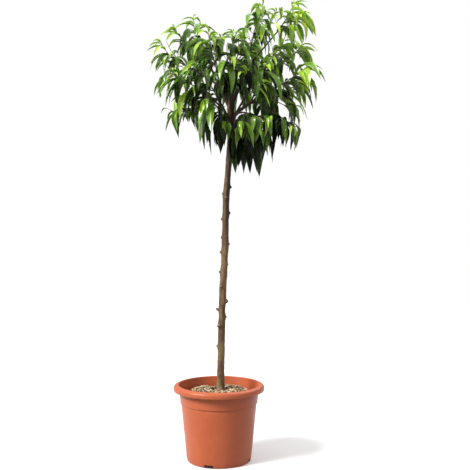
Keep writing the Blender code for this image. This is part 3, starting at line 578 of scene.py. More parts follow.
def leaves_at(nodes, shoot, crown, index, rng, obstacles):
    """The leaves that find room at the nodes of a shoot, each with how fresh it looks. A node has a
    share of the way along, a turn round the shoot, a youth, a size and how fresh it looks."""
    leaves = []
    for share, turn_round, youth, size, fresh in nodes:

        def draw(attempt):
            return draw_leaf(rng, shoot, share, turn_round, MASSES[index], attempt, youth, size)

        leaf = placed_leaf(crown, index, obstacles, draw)
        if leaf:
            leaves.append((leaf, fresh))
    return leaves


def grow_leaves(crown, index):
    """The leaves that the solids have, each with how fresh it looks: a golden-angle spiral up each
    shoot of the mass."""
    name = MASSES[index].name
    rng = np.random.default_rng(LEAF_SEED + index)
    obstacles = crown.obstacles(name)
    leaves = []
    for shoot in crown.shoots[name]:
        count = max(FEWEST_LEAVES, int(length_of(shoot.points) / LEAF_SPACING))
        phase = rng.uniform(0.0, 2 * math.pi)
        nodes = []
        for node in range(count):
            share = between((LEAFY_FROM, LEAFY_TO), (node + 0.5) / count)
            fresh = smooth_share(share, FRESH_FROM, 1.0)
            nodes.append((share, phase + node * GOLDEN_ANGLE, None, 1.0, fresh))
        leaves += leaves_at(nodes, shoot, crown, index, rng, obstacles)
    crown.settle(name, leaves)
    return leaves


# Finer growth, past what the solids carry: a young end on each shoot, side shoots along it, and
# spurs on the boughs. Each kind of leaf has a size, a youth that shapes it, and how fresh it looks

FINE_SEED = 900
FINE_STEPS = 4
FINE_TIP_RADIUS = 0.0005
TIP_SHOOT = (0.020, 0.034)
TIP_SHOOT_RISE, TIP_SHOOT_LIFT = 0.35, 0.3
TIP_LEAVES, TIP_FIRST_LEAF = 5, 0.7
TIP_LEAF_SIZES = (0.90, 0.40)
TIP_YOUTH, TIP_FRESH = 0.8, 1.0
SIDE_SHOOT = (0.030, 0.055)
SIDE_SHOOTS_AT = (0.22, 0.60)
SIDE_SHOOT_AHEAD, SIDE_SHOOT_LIFT = 0.6, 0.25
SIDE_LEAVES, SIDE_FIRST_LEAF = 3, 0.9
SIDE_LEAF_SIZE = 0.80
SIDE_YOUTH = 0.35
SIDE_FRESH, SIDE_FRESH_GAIN = 0.25, 0.4
SPUR_SPACING = 0.024
SPURS_FROM, SPURS_TO = 0.14, 0.97
SPUR_LEAF_SIZE = 0.90
SPUR_YOUTH, SPUR_FRESH = 0.1, 0.0


def short_shoot(start, heading, length, lift):
    """A short fine shoot that turns up as it goes."""
    steps = np.linspace(0.0, 1.0, FINE_STEPS)[:, None]
    points = start + length * (steps * heading + 0.5 * lift * steps**2 * UP)
    return Limb(points, np.linspace(STEM_TIP_RADIUS, FINE_TIP_RADIUS, FINE_STEPS))


def tip_growth(crown, index, rng, obstacles):
    """The young end of each shoot, with its tuft of small leaves."""
    shoots, leaves = [], []
    for shoot in crown.shoots[MASSES[index].name]:
        end, axis = shoot.at(1.0)
        heading = unit(axis + TIP_SHOOT_RISE * UP)
        tip = short_shoot(end, heading, rng.uniform(*TIP_SHOOT), TIP_SHOOT_LIFT)
        phase = rng.uniform(0.0, 2 * math.pi)
        nodes = []
        for node in range(TIP_LEAVES):
            share = (node + TIP_FIRST_LEAF) / TIP_LEAVES
            size = between(TIP_LEAF_SIZES, share)
            nodes.append((share, phase + node * GOLDEN_ANGLE, TIP_YOUTH, size, TIP_FRESH))
        shoots.append(tip)
        leaves += leaves_at(nodes, tip, crown, index, rng, obstacles)
    return shoots, leaves


def side_growth(crown, index, rng, obstacles):
    """Short side shoots along each shoot of a mass, those that find room for a leaf."""
    shoots, leaves = [], []
    for shoot in crown.shoots[MASSES[index].name]:
        phase = rng.uniform(0.0, 2 * math.pi)
        for order, place in enumerate(SIDE_SHOOTS_AT):
            start, axis = shoot.at(place)
            heading = unit(SIDE_SHOOT_AHEAD * axis + way_out(axis, phase + order * GOLDEN_ANGLE))
            side = short_shoot(start, heading, rng.uniform(*SIDE_SHOOT), SIDE_SHOOT_LIFT)
            nodes = []
            for node in range(SIDE_LEAVES):
                share = (node + SIDE_FIRST_LEAF) / SIDE_LEAVES
                turn_round = phase + node * GOLDEN_ANGLE
                fresh = SIDE_FRESH + SIDE_FRESH_GAIN * share * place
                nodes.append((share, turn_round, SIDE_YOUTH * share, SIDE_LEAF_SIZE, fresh))
            grown = leaves_at(nodes, side, crown, index, rng, obstacles)
            if grown:
                shoots.append(side)
                leaves += grown
    return shoots, leaves


def spur_growth(crown, index, rng, obstacles):
    """Leaves on short spurs along the bough of a mass."""
    bough = crown.boughs[MASSES[index].name]
    count = int(length_of(bough.points) * (1 - SPURS_FROM) / SPUR_SPACING)
    nodes = []
    for node in range(count):
        share = between((SPURS_FROM, SPURS_TO), (node + 0.5) / count)
        nodes.append((share, node * GOLDEN_ANGLE, SPUR_YOUTH, SPUR_LEAF_SIZE, SPUR_FRESH))
    return leaves_at(nodes, bough, crown, index, rng, obstacles)


def grow_all():
    """The crown, the leaves of each mass with how fresh each looks, and the fine shoots."""
    crown = Crown()
    leaves = [grow_leaves(crown, index) for index in range(len(MASSES))]
    fine_shoots = []
    for index, mass in enumerate(MASSES):
        rng = np.random.default_rng(FINE_SEED + index)
        obstacles = crown.obstacles(mass.name)
        tips, young = tip_growth(crown, index, rng, obstacles)
        sides, more = side_growth(crown, index, rng, obstacles)
        spurs = spur_growth(crown, index, rng, obstacles)
        leaves[index] += young + more + spurs
        fine_shoots += tips + sides
        crown.settle(mass.name, leaves[index])
    return crown, leaves, fine_shoots


# Meshes


def new_piece(name, corners, faces, materials, face_materials=None, sharp_deg=55):
    """A mesh piece shaded smooth up to an angle, with a material for each face."""
    mesh = bpy.data.meshes.new(name)
    mesh.from_pydata([tuple(corner) for corner in corners], [], faces)
    for material in materials:
        mesh.materials.append(material)
    if face_materials is not None:
        mesh.polygons.foreach_set("material_index", np.asarray(face_materials, np.int32))
    mesh.update()
    mesh.shade_smooth()
    mesh.set_sharp_from_angle(angle=math.radians(sharp_deg))
    piece = bpy.data.objects.new(name, mesh)
    bpy.context.scene.collection.objects.link(piece)
    return piece


def grid_faces(rows, columns):
    """Quads between rows of points that each run round a closed ring."""
    faces = []
    for row in range(rows - 1):
        for column in range(columns):
            after = (column + 1) % columns
            low, high = row * columns, (row + 1) * columns
            faces.append((low + column, low + after, high + after, high + column))
    return faces


def closed_faces(rows, columns):
    """The faces of rows of points round closed rings, and fans from the first and the last row to
    the two points that follow them."""
    root, tip = rows * columns, rows * columns + 1
    faces = grid_faces(rows, columns)
    for column in range(columns):
        faces.append(((column + 1) % columns, column, root))
    last = (rows - 1) * columns
    for column in range(columns):
        faces.append((last + column, last + (column + 1) % columns, tip))
    return faces


# Leaf meshes: places across the blade from edge to edge, and along it past the stalk

ACROSS = np.array([-1.0, -0.80, -0.45, -0.09, 0.09, 0.45, 0.80, 1.0])
BLADE_PLACES = (0.03, 0.08, 0.15, 0.23, 0.32, 0.42, 0.52, 0.62, 0.72, 0.81, 0.89, 0.95, 0.985)
STALK_PLACES = (0.0, 0.5, 1.0)
STALK_RADIUS = 0.0009
LEAF_SKIN = 0.00022
RIB_DEPTH = 0.0009
RIB_RADIUS = 0.0012
FOLD_RANGE = (0.30, 1.00)
FOLD_POWER, FOLD_FADE = 1.3, 0.5
WAVE_RANGE = (0.03, 0.14)
WAVE_OFFSET = 1.9
BLADE_WIDTH = 0.98
BLADE_FULLNESS = 0.90
SICKLE = 0.09
WAVE_COUNTS = (2.5, 5.5)
FACE, UNDERSIDE, RIB = 0, 1, 2
RIB_COLUMNS = (3, 10)


def leaf_stations():
    """The places of a leaf's rings, as shares of its length."""
    stalk = PETIOLE_SHARE * np.array(STALK_PLACES)
    blade = PETIOLE_SHARE + (1 - PETIOLE_SHARE) * np.array(BLADE_PLACES)
    return np.concatenate([stalk, blade])


def blade_section(half, blade, rng):
    """How far the face and the underside lie off a leaf's middle line, at each place across."""
    across = ACROSS[None, :]
    edge = np.abs(across)
    fold = rng.uniform(*FOLD_RANGE) * half * edge**FOLD_POWER * (1 - FOLD_FADE * blade)
    wave_size = rng.uniform(*WAVE_RANGE) * half * np.sin(math.pi * blade) * edge**2
    turns = 2 * math.pi * rng.uniform(*WAVE_COUNTS) * blade + rng.uniform(0, 6)
    wave = wave_size * np.sin(turns + WAVE_OFFSET * np.sign(across))
    body = between((0.8 * STALK_RADIUS, LEAF_SKIN), np.clip(6 * blade, 0, 1))
    skin = body * np.sqrt(1 - across**2)
    rib = RIB_DEPTH * (1 - 0.8 * blade) * np.exp(-((across * half / RIB_RADIUS) ** 2))
    lift = np.where(blade > 0, fold + wave, 0.0)
    return lift + skin, lift - skin - np.where(blade > 0, rib, 0.0)


def leaf_shape(leaf, rng):
    """The points of a leaf: rings round its blade and stalk, then its root and its tip."""
    stations = leaf_stations()
    centre, side, up = blade_frames(leaf, stations)
    blade = np.clip((stations - PETIOLE_SHARE) / (1 - PETIOLE_SHARE), 0, 1)[:, None]
    centre = centre + side * (rng.uniform(-SICKLE, SICKLE) * leaf.length * blade**2)
    outline = np.sin(math.pi * blade**OUTLINE_POWER) ** BLADE_FULLNESS
    half = np.maximum(0.5 * BLADE_WIDTH * leaf.width * outline, STALK_RADIUS)
    top, bottom = blade_section(half, blade, rng)
    sideways = side[:, None] * (half * ACROSS)[..., None]
    upper = centre[:, None] + sideways + up[:, None] * top[..., None]
    lower = centre[:, None] + sideways + up[:, None] * bottom[..., None]
    rings = np.concatenate([upper, lower[:, -2:0:-1]], axis=1)
    tip = 2.2 * centre[-1] - 1.2 * centre[-2]
    return np.concatenate([rings.reshape(-1, 3), [leaf.root], [tip]])


def leaf_faces():
    """The faces of one leaf and the material of each."""
    rows = len(leaf_stations())
    columns = 2 * len(ACROSS) - 2
    kinds = []
    for row in range(rows - 1):
        for column in range(columns):
            if row < len(STALK_PLACES) or column in RIB_COLUMNS:
                kinds.append(RIB)
            else:
                kinds.append(FACE if column < len(ACROSS) - 1 else UNDERSIDE)
    kinds += [RIB] * columns
    kinds += [FACE if column < len(ACROSS) - 1 else UNDERSIDE for column in range(columns)]
    return closed_faces(rows, columns), kinds


# Tints: the light below which a leaf has each, its gloss, its face, its underside and its rib

TINTS = (
    ("leaf_shade", 0.19, 0.10, (0.004, 0.008, 0.002), (0.010, 0.014, 0.005), (0.016, 0.022, 0.007)),
    ("leaf_deep", 0.33, 0.22, (0.013, 0.030, 0.003), (0.030, 0.048, 0.012), (0.048, 0.068, 0.014)),
    ("leaf_mid", 0.46, 0.50, (0.048, 0.112, 0.006), (0.072, 0.118, 0.024), (0.120, 0.165, 0.030)),
    ("leaf_bright", 0.61, 0.70, (0.130, 0.275, 0.010), (0.140, 0.230, 0.036), (0.230, 0.310, 0.045)),
    ("leaf_fresh", 0.80, 0.70, (0.300, 0.500, 0.022), (0.250, 0.400, 0.040), (0.430, 0.560, 0.065)),
    ("leaf_young", 9.00, 0.60, (0.500, 0.720, 0.060), (0.400, 0.580, 0.060), (0.520, 0.640, 0.070)),
)

# How light a leaf's tint is: the middle, radius, foot and height of the crown, what being fresh, outer
# and high each add, and how far sprays and leaves differ by chance. Fresh leaves are lighter in their
# own colour; what outer and high add is painted light, which leaves inner and low leaves in painted
# shade
CROWN_MIDDLE_X, CROWN_RADIUS = 0.05, 0.22
CROWN_FOOT, CROWN_HEIGHT = 1.10, 0.36
FULL_SHARE = 1.1
FRESH_LIGHT, OUTER_PAINTED_LIGHT, HIGH_PAINTED_LIGHT = 0.40, 0.24, 0.34
SPRAY_DRIFT, LEAF_DRIFT = 0.05, 0.10
TINT_SEED = 31
LEAF_SIDES = (("_face", 0.24), ("_underside", 0.52), ("_rib", 0.45))


def freshness_and_painted_light(leaf, fresh, drift):
    """How light a leaf's tint is: fresh ones are light in their own colour and old ones dark; outer and
    high ones get painted light, inner and low ones painted shade.
    """
    outer = math.hypot(leaf.root[0] - CROWN_MIDDLE_X, leaf.root[1]) / CROWN_RADIUS
    high = min(max((leaf.root[2] - CROWN_FOOT) / CROWN_HEIGHT, 0.0), FULL_SHARE)
    return FRESH_LIGHT * fresh + OUTER_PAINTED_LIGHT * min(outer, FULL_SHARE) + HIGH_PAINTED_LIGHT * high + drift


def make_foliage(leaves):
    """One piece of leaves for each tint, which is dealt out leaf by leaf within each spray."""
    rng = np.random.default_rng(TINT_SEED)
    groups = [[] for _ in TINTS]
    for spray in leaves:
        spray_drift = rng.normal(0.0, SPRAY_DRIFT)
        for leaf, fresh in spray:
            # The tint carries painted light and shade from the leaf's place in the crown, as well as how
            # fresh it is
            light = freshness_and_painted_light(leaf, fresh, spray_drift + rng.normal(0.0, LEAF_DRIFT))
            kind = next(k for k, tint in enumerate(TINTS) if light < tint[1])
            groups[kind].append(leaf_shape(leaf, rng))
    faces, kinds = leaf_faces()
    faces = [np.array(face) for face in faces]
    pieces = []
    for tint, group in zip(TINTS, groups):
        name, _, gloss_level, *colours = tint
        materials = [
            leaf_material(name + side, colour, roughness, gloss_level)
            for (side, roughness), colour in zip(LEAF_SIDES, colours)
        ]
        count = len(group[0])
        all_faces = [(face + k * count).tolist() for k in range(len(group)) for face in faces]
        corners = np.concatenate(group)
        pieces.append(new_piece(name, corners, all_faces, materials, kinds * len(group), 70))
    return pieces


# Limbs


def smooth_line(limb, spacing):
    """The limb's line and radii, rounded through its points, with a point every spacing."""
    points = limb.points
    ends = np.concatenate([[2 * points[0] - points[1]], points, [2 * points[-1] - points[-2]]])
    line, radii = [], []
    for k in range(len(points) - 1):
        p0, p1, p2, p3 = ends[k : k + 4]
        count = max(1, int(round(np.linalg.norm(p2 - p1) / spacing)))
        for t in np.arange(count) / count:
            slope = 0.5 * (p2 - p0)
            bend = p0 - 2.5 * p1 + 2 * p2 - 0.5 * p3
            twist = 0.5 * (p3 - p0) + 1.5 * (p1 - p2)
            line.append(p1 + slope * t + bend * t**2 + twist * t**3)
            radii.append(limb.radii[k] + (limb.radii[k + 1] - limb.radii[k]) * t)
    line.append(points[-1])
    radii.append(limb.radii[-1])
    return np.array(line), np.array(radii)


# Skins: how far apart their rings are, and how many sides each ring has
TRUNK_SKIN = (0.0020, 32)
STUB_SKIN = (0.0015, 14)
BOUGH_SKIN = (0.004, 16)
SHOOT_SKIN = (0.006, 8)
FINE_SHOOT_SKIN = (0.008, 6)


def limb_skin(limb, skin, relief):
    """Points and faces of a limb's skin. Relief gives the skin's offset from each point's place
    on the limb, the way out of it there, and the radius."""
    spacing, sides = skin
    line, radii = smooth_line(limb, spacing)
    axis = np.gradient(line, axis=0)
    axis /= np.linalg.norm(axis, axis=1)[:, None]
    level = unit(np.cross(axis[0], (0.2, 0.9, 0.1)))
    corners = []
    for point, radius, ahead in zip(line, radii, axis):
        level = unit(level - ahead * (level @ ahead))
        other = np.cross(ahead, level)
        for side in range(sides):
            angle = 2 * math.pi * side / sides
            out = level * math.cos(angle) + other * math.sin(angle)
            offset = relief(point + out * radius, out, radius)
            corners.append(point + out * (radius + offset))
    rows = len(line)
    corners += [line[0], line[-1] + axis[-1] * 0.4 * radii[-1]]
    return corners, closed_faces(rows, sides)


def bark_relief(place, out, radius):
    """Fine fissures along the stem, soft lumps, and short raised bands across it."""
    along = noise.noise(Vector(place * (420, 420, 60)))
    lumps = noise.noise(Vector(place) * 70)
    bands = noise.noise(Vector(place * (150, 150, 520)))
    return radius * (0.055 * along + 0.06 * lumps) + 0.0003 * max(bands, 0.0)


def shoot_relief(place, out, radius):
    """A slight unevenness on the fine shoots."""
    return 0.12 * radius * noise.noise(Vector(place) * 160)


KNOT_WIDTH = 0.0095


def trunk_relief(knots):
    """Bark relief with a swelling round the foot of each stub and bough."""

    def relief(place, out, radius):
        offset = bark_relief(place, out, radius)
        for centre, size in knots:
            apart = place - centre
            apart[2] *= 0.75
            offset += size * math.exp(-(apart @ apart) / KNOT_WIDTH**2)
        return offset

    return relief


# The dressed trunk: how much is left of each stub's length, its radii from root to cut, the size of
# the swelling round the foot of a stub and of a bough, and how the foot is carried into the soil
STUB_WEAR = 0.65
STUB_RADII = np.array([2.2, 1.6, 1.0])
STUB_KNOT_SHARE = 0.62
BOUGH_KNOT_SIZE = 0.0022
TRUNK_SUNK, SUNK_SPREAD = 0.015, 1.25


def trunk_place(crown, height):
    """The middle of the trunk and its radius at a height."""
    heights = crown.trunk.points[:, 2]
    centre = np.array([np.interp(height, heights, crown.trunk.points[:, k]) for k in range(3)])
    return centre, float(np.interp(height, heights, crown.trunk.radii))


def level_way(bearing_deg):
    """The level direction at a bearing."""
    bearing = math.radians(bearing_deg)
    return np.array([math.cos(bearing), math.sin(bearing), 0.0])


def trunk_knots(crown):
    """The place and size of each swelling on the trunk, at the foot of a stub or a bough."""
    knots = []
    for height, bearing_deg, _, radius in STUBS:
        centre, trunk_radius = trunk_place(crown, height)
        knots.append((centre + level_way(bearing_deg) * trunk_radius, STUB_KNOT_SHARE * radius))
    for mass in MASSES:
        if mass.parent == "trunk":
            start, _ = crown.trunk.at(mass.at)
            heading = crown.boughs[mass.name].points[1] - start
            out = unit(heading * (1, 1, 0.4))
            knots.append((start + out * trunk_place(crown, start[2])[1], BOUGH_KNOT_SIZE))
    return knots


def stub_skin(crown, height, bearing_deg, full_length, radius):
    """The corners and faces of a pruned stub, with its worn cut as the last fan."""
    centre, trunk_radius = trunk_place(crown, height)
    out = level_way(bearing_deg)
    length = STUB_WEAR * full_length
    root = centre + out * STUB_ROOT_SHARE * trunk_radius
    middle = centre + out * (trunk_radius + 0.2 * length) + UP * 0.1 * length
    end = centre + out * (trunk_radius + length) + UP * STUB_RISE * length
    stub = Limb(np.array([root, middle, end]), radius * STUB_RADII)
    corners, faces = limb_skin(stub, STUB_SKIN, bark_relief)
    corners[-1] = end - 0.1 * radius * out
    return corners, faces


def make_trunk(crown, bark, cut_wood):
    """The barked trunk, carried a little into the soil, with its pruned stubs."""
    foot = crown.trunk.points[0] - TRUNK_SUNK * UP
    foot_radius = crown.trunk.radii[0] * SUNK_SPREAD
    limb = Limb(
        np.vstack([[foot], crown.trunk.points]), np.concatenate([[foot_radius], crown.trunk.radii])
    )
    corners, faces = limb_skin(limb, TRUNK_SKIN, trunk_relief(trunk_knots(crown)))
    kinds = [0] * len(faces)
    for stub in STUBS:
        stub_corners, stub_faces = stub_skin(crown, *stub)
        add_mesh(corners, faces, stub_corners, stub_faces)
        kinds += [0] * (len(stub_faces) - STUB_SKIN[1]) + [1] * STUB_SKIN[1]
    return new_piece("trunk_bark", corners, faces, [bark, cut_wood], kinds)


def joined_skins(name, limbs, skin, relief, material):
    """Several limbs' skins as one piece."""
    corners, faces = [], []
    for limb in limbs:
        skin_corners, skin_faces = limb_skin(limb, skin, relief)
        add_mesh(corners, faces, skin_corners, skin_faces)
    return new_piece(name, corners, faces, [material])


# Pot and soil

POT_STEPS = 144
POT_HEIGHT = 0.249
POT_WALL = 0.0026
RIM_RADIUS = 0.150
MOUTH_RADIUS = 0.1325
RIM_DEPTH = 0.0195
LIP_INNER_ROUND = 0.0032
LIP_OUTER_ROUND = 0.0095
LIP_SLOPE = 0.0012
BASE_RADIUS = 0.1063
WALL_SLOPE = 0.099
BAND_SLOPE = 0.085
STEP_HEIGHT = 0.187
STEP_DEPTH = 0.0028
STEP_RISE = 0.0025
BASE_RISE = 0.006
FOOT_WIDTH = 0.010
NOTCH_SIZE = (0.034, 0.031, 0.021)
NOTCH_COUNT = 4
NOTCH_START_DEG = -107.0
PLUG_INSET = 0.0035
PLUG_GAP = 0.0004
SOIL_EDGE_DROP = 0.016
SOIL_SHOULDER_DROP = 0.004
SOIL_FLAT_RADIUS = 0.030
SOIL_SHOULDER_RADIUS = 0.090


def wall_radius(height):
    """The middle of the pot's wall: it widens evenly, and steps out to the band under the rim."""
    step = STEP_DEPTH * smooth_share(height, STEP_HEIGHT, STEP_HEIGHT + STEP_RISE)
    widening = WALL_SLOPE * min(height, STEP_HEIGHT) + BAND_SLOPE * max(height - STEP_HEIGHT, 0.0)
    return BASE_RADIUS - 0.5 * POT_WALL + widening + step


def arc(centre_r, centre_z, radius, start_deg, end_deg, count):
    """Points of an arc in the pot's section, as radius and height."""
    angles = np.radians(np.linspace(start_deg, end_deg, count))
    return [(centre_r + radius * math.cos(a), centre_z + radius * math.sin(a)) for a in angles]


def pot_section():
    """The pot's closed section: up the outer wall, round the rolled rim and down inside."""
    half = 0.5 * POT_WALL
    lip_foot = POT_HEIGHT - RIM_DEPTH
    inner, outer = MOUTH_RADIUS + LIP_INNER_ROUND, RIM_RADIUS - LIP_OUTER_ROUND
    top, outer_top = POT_HEIGHT - LIP_INNER_ROUND, POT_HEIGHT - LIP_SLOPE - LIP_OUTER_ROUND
    foot = BASE_RADIUS - FOOT_WIDTH
    section = [(0.0, BASE_RISE), (foot - 0.004, BASE_RISE), (foot, 0.0)]
    section += arc(BASE_RADIUS - 0.0055, 0.0045, 0.0045, -90, -8, 7)
    for height in np.linspace(0.012, STEP_HEIGHT - 0.0025, 16):
        section.append((wall_radius(height) + half, height))
    section.append((wall_radius(STEP_HEIGHT) + half - 0.0006, STEP_HEIGHT - 0.0010))
    section.append((wall_radius(STEP_HEIGHT) + half - 0.0003, STEP_HEIGHT))
    for height in np.linspace(STEP_HEIGHT + 0.0008, STEP_HEIGHT + STEP_RISE + 0.0006, 6):
        section.append((wall_radius(height) + half, height))
    for height in np.linspace(STEP_HEIGHT + 0.008, lip_foot + 0.006, 8):
        section.append((wall_radius(height) + half, height))
    section.append((inner + 0.001, top - 0.001))
    section += arc(outer, outer_top, LIP_OUTER_ROUND - POT_WALL, 85, 5, 9)
    section.append((RIM_RADIUS - POT_WALL, lip_foot + 0.002))
    section += arc(RIM_RADIUS - half, lip_foot + half, half, -175, -10, 5)
    section += arc(outer, outer_top, LIP_OUTER_ROUND, -4, 82, 16)
    section += arc(inner, top, LIP_INNER_ROUND, 82, 184, 12)
    for height in np.linspace(lip_foot, 0.012, 18):
        section.append((wall_radius(height) - half, height))
    section += [(foot - 0.004, BASE_RISE + POT_WALL), (0.0, BASE_RISE + POT_WALL)]
    return section


def turned(section, steps):
    """Points and faces of a closed section turned round the Z axis, from axis to axis."""
    rows = section[1:-1]
    corners = []
    for radius, height in rows:
        for step in range(steps):
            angle = 2 * math.pi * step / steps
            corners.append((radius * math.cos(angle), radius * math.sin(angle), height))
    corners += [(0.0, 0.0, section[0][1]), (0.0, 0.0, section[-1][1])]
    return corners, closed_faces(len(rows), steps)


def make_pot(plastic):
    """The moulded pot with its drain notches cut out of the foot."""
    pot = new_piece("moulded_pot", *turned(pot_section(), POT_STEPS), [plastic], sharp_deg=42)
    cutters = []
    for k in range(NOTCH_COUNT):
        bearing = notch_bearing(k)
        place = (BASE_RADIUS * math.cos(bearing), BASE_RADIUS * math.sin(bearing), 0.0)
        bpy.ops.mesh.primitive_cube_add(
            size=1.0, location=place, rotation=(0.0, 0.0, bearing), scale=NOTCH_SIZE
        )
        cutter = bpy.context.object
        round_off = cutter.modifiers.new("round", "BEVEL")
        round_off.width = 0.003
        round_off.segments = 3
        cutters.append(cutter)
        cut = pot.modifiers.new(f"notch_{k}", "BOOLEAN")
        cut.operation = "DIFFERENCE"
        cut.object = cutter
    apply_modifiers(pot)
    for cutter in cutters:
        bpy.data.objects.remove(cutter)
    pot.data.set_sharp_from_angle(angle=math.radians(42))
    return pot


def apply_modifiers(piece):
    """Puts the piece's evaluated mesh in place of its own."""
    bpy.context.view_layer.update()
    graph = bpy.context.evaluated_depsgraph_get()
    mesh = bpy.data.meshes.new_from_object(piece.evaluated_get(graph))
    piece.modifiers.clear()
    piece.data = mesh


HOLLOW_AT = (-0.021, 0.050)
HOLLOW_RADII = (0.015, 0.036)
HOLLOW_DEPTH = 0.016
HEAP_RADIUS = 0.062
HEAP_WIDTH = 0.030
HEAP_HEIGHT = 0.008
SOIL_RINGS = 46
SOIL_STEPS = 120


def from_hollow(x, y):
    """How far a place is from the dark hollow's middle: 1 at its edge."""
    return math.hypot((x - HOLLOW_AT[0]) / HOLLOW_RADII[0], (y - HOLLOW_AT[1]) / HOLLOW_RADII[1])


def soil_height(x, y):
    """The height of the soil's surface, with its crumbs and the dark hollow by the stem."""
    radii = (SOIL_FLAT_RADIUS, SOIL_SHOULDER_RADIUS, wall_radius(SOIL_HEIGHT))
    fall = np.interp(math.hypot(x, y), radii, (0.0, SOIL_SHOULDER_DROP, SOIL_EDGE_DROP))
    heap = HEAP_HEIGHT * math.exp(-(((math.hypot(x, y) - HEAP_RADIUS) / HEAP_WIDTH) ** 2))
    crumbs = 0.0012 * noise.noise(Vector((x, y, 0.3)) * 260)
    crumbs += 0.0016 * noise.noise(Vector((x, y, 0.7)) * 90)
    hollow = HOLLOW_DEPTH * math.exp(-(from_hollow(x, y) ** 2))
    return SOIL_HEIGHT - fall + heap - hollow + crumbs - 0.001


def notch_bearing(k):
    """The bearing of a drain notch."""
    return math.radians(NOTCH_START_DEG) + 2 * math.pi * k / NOTCH_COUNT


def notch_shade_plug(k):
    """A block of dark soil set in a drain notch, painted shade for the dark inside it."""
    bearing = notch_bearing(k)
    out = np.array([math.cos(bearing), math.sin(bearing), 0.0])
    along = np.array([-math.sin(bearing), math.cos(bearing), 0.0])
    corners = []
    for height in (PLUG_GAP, 0.5 * NOTCH_SIZE[2] - PLUG_GAP):
        for reach, side in ((-0.012, -1), (0.0, -1), (0.0, 1), (-0.012, 1)):
            radius = BASE_RADIUS - PLUG_INSET + reach
            half = 0.5 * NOTCH_SIZE[1] - PLUG_GAP
            corners.append(out * radius + along * side * half + UP * height)
    faces = grid_faces(2, 4)
    faces += [(3, 2, 1, 0), (4, 5, 6, 7)]
    return corners, faces


def make_soil(earth):
    """The soil: an uneven surface over a plain body that fills the pot."""
    edge = wall_radius(SOIL_HEIGHT - SOIL_EDGE_DROP) - 0.5 * POT_WALL - CLEARANCE
    corners = []
    bottom = (wall_radius(0.012) - 0.018, BASE_RISE + POT_WALL + CLEARANCE)
    for radius, height in (bottom, (wall_radius(0.03) - 0.003, 0.03)):
        corners += [circle_point(radius, step, height) for step in range(SOIL_STEPS)]
    for ring in range(SOIL_RINGS):
        radius = edge * (1 - ring / SOIL_RINGS)
        for step in range(SOIL_STEPS):
            x, y, _ = circle_point(radius, step, 0.0)
            corners.append((x, y, soil_height(x, y)))
    corners += [(0.0, 0.0, bottom[1]), (0.0, 0.0, soil_height(0.0, 0.0))]
    faces = closed_faces(SOIL_RINGS + 2, SOIL_STEPS)
    # Dark blocks in the drain notches, painted shade for the dark inside them
    for k in range(NOTCH_COUNT):
        add_mesh(corners, faces, *notch_shade_plug(k))
    return new_piece("soil_surface", corners, faces, [earth], sharp_deg=80)


def circle_point(radius, step, height):
    """A point of a level ring round the Z axis."""
    angle = 2 * math.pi * step / SOIL_STEPS
    return (radius * math.cos(angle), radius * math.sin(angle), height)


CHIP_COUNT = 620
CHIP_LENGTHS = (0.006, 0.017)
CHIP_RADII = (0.019, 0.098)
CHIP_SIDES = 6


def chip(rng, place, size):
    """A splinter of wood: an uneven six-sided slab, thinner at its ends, tilted where it lies."""
    length, width, height = size
    angles = np.arange(CHIP_SIDES) * 2 * math.pi / CHIP_SIDES + rng.normal(0, 0.22, CHIP_SIDES)
    outline = np.stack([length * np.cos(angles), width * np.sin(angles)], axis=1) / 2
    outline *= rng.uniform(0.75, 1.1, (CHIP_SIDES, 1))
    thick = height / 2 * (1 - 0.45 * np.abs(np.cos(angles)))
    bend = 0.10 * length * (outline[:, 0] * 2 / length) ** 2 * rng.normal()
    low = np.column_stack([outline, bend - thick])
    high = np.column_stack([outline * rng.uniform(0.7, 0.95), bend + thick])
    points = np.concatenate([low, high, [[0, 0, -height / 2]], [[0, 0, height / 2]]])
    tilt_x, tilt_y, turn = rng.normal(0, 0.22), rng.normal(0, 0.22), rng.uniform(0, math.pi)
    cx, sx, cy, sy = math.cos(tilt_x), math.sin(tilt_x), math.cos(tilt_y), math.sin(tilt_y)
    ct, st = math.cos(turn), math.sin(turn)
    tip = np.array([[cy, 0, sy], [sx * sy, cx, -sx * cy], [-cx * sy, sx, cx * cy]])
    points = points @ tip.T @ np.array([[ct, -st, 0], [st, ct, 0], [0, 0, 1]]).T
    return points + place, closed_faces(2, CHIP_SIDES)


def make_chips(materials):
    """Wood chips strewn over the soil, sparse in the hollow, and none in the stem."""
    rng = np.random.default_rng(77)
    corners, faces, kinds = [], [], []
    for k in range(CHIP_COUNT):
        distance = between(CHIP_RADII, ((k + 0.5) / CHIP_COUNT) ** 0.6)
        bearing = k * GOLDEN_ANGLE + rng.normal(0, 0.2)
        x, y = distance * math.cos(bearing), distance * math.sin(bearing)
        length = between(CHIP_LENGTHS, rng.uniform() ** 1.6)
        size = (length, length * rng.uniform(0.3, 0.6), rng.uniform(0.0016, 0.0034))
        kind = int(rng.choice(len(materials), p=(0.46, 0.26, 0.28)))
        lift = rng.uniform(0.0004, 0.0034)
        if from_hollow(x, y) < 1.15 and k % 6:
            continue
        place = np.array([x, y, soil_height(x, y) + lift])
        chip_corners, chip_faces = chip(rng, place, size)
        add_mesh(corners, faces, chip_corners, chip_faces)
        kinds += [kind] * len(chip_faces)
    return new_piece("wood_chips", corners, faces, materials, kinds, sharp_deg=35)


# Materials


def shader_of(name):
    """A new material, its node tree and its Principled shader."""
    material = bpy.data.materials.new(name)
    material.use_nodes = True
    return material, material.node_tree, material.node_tree.nodes["Principled BSDF"]


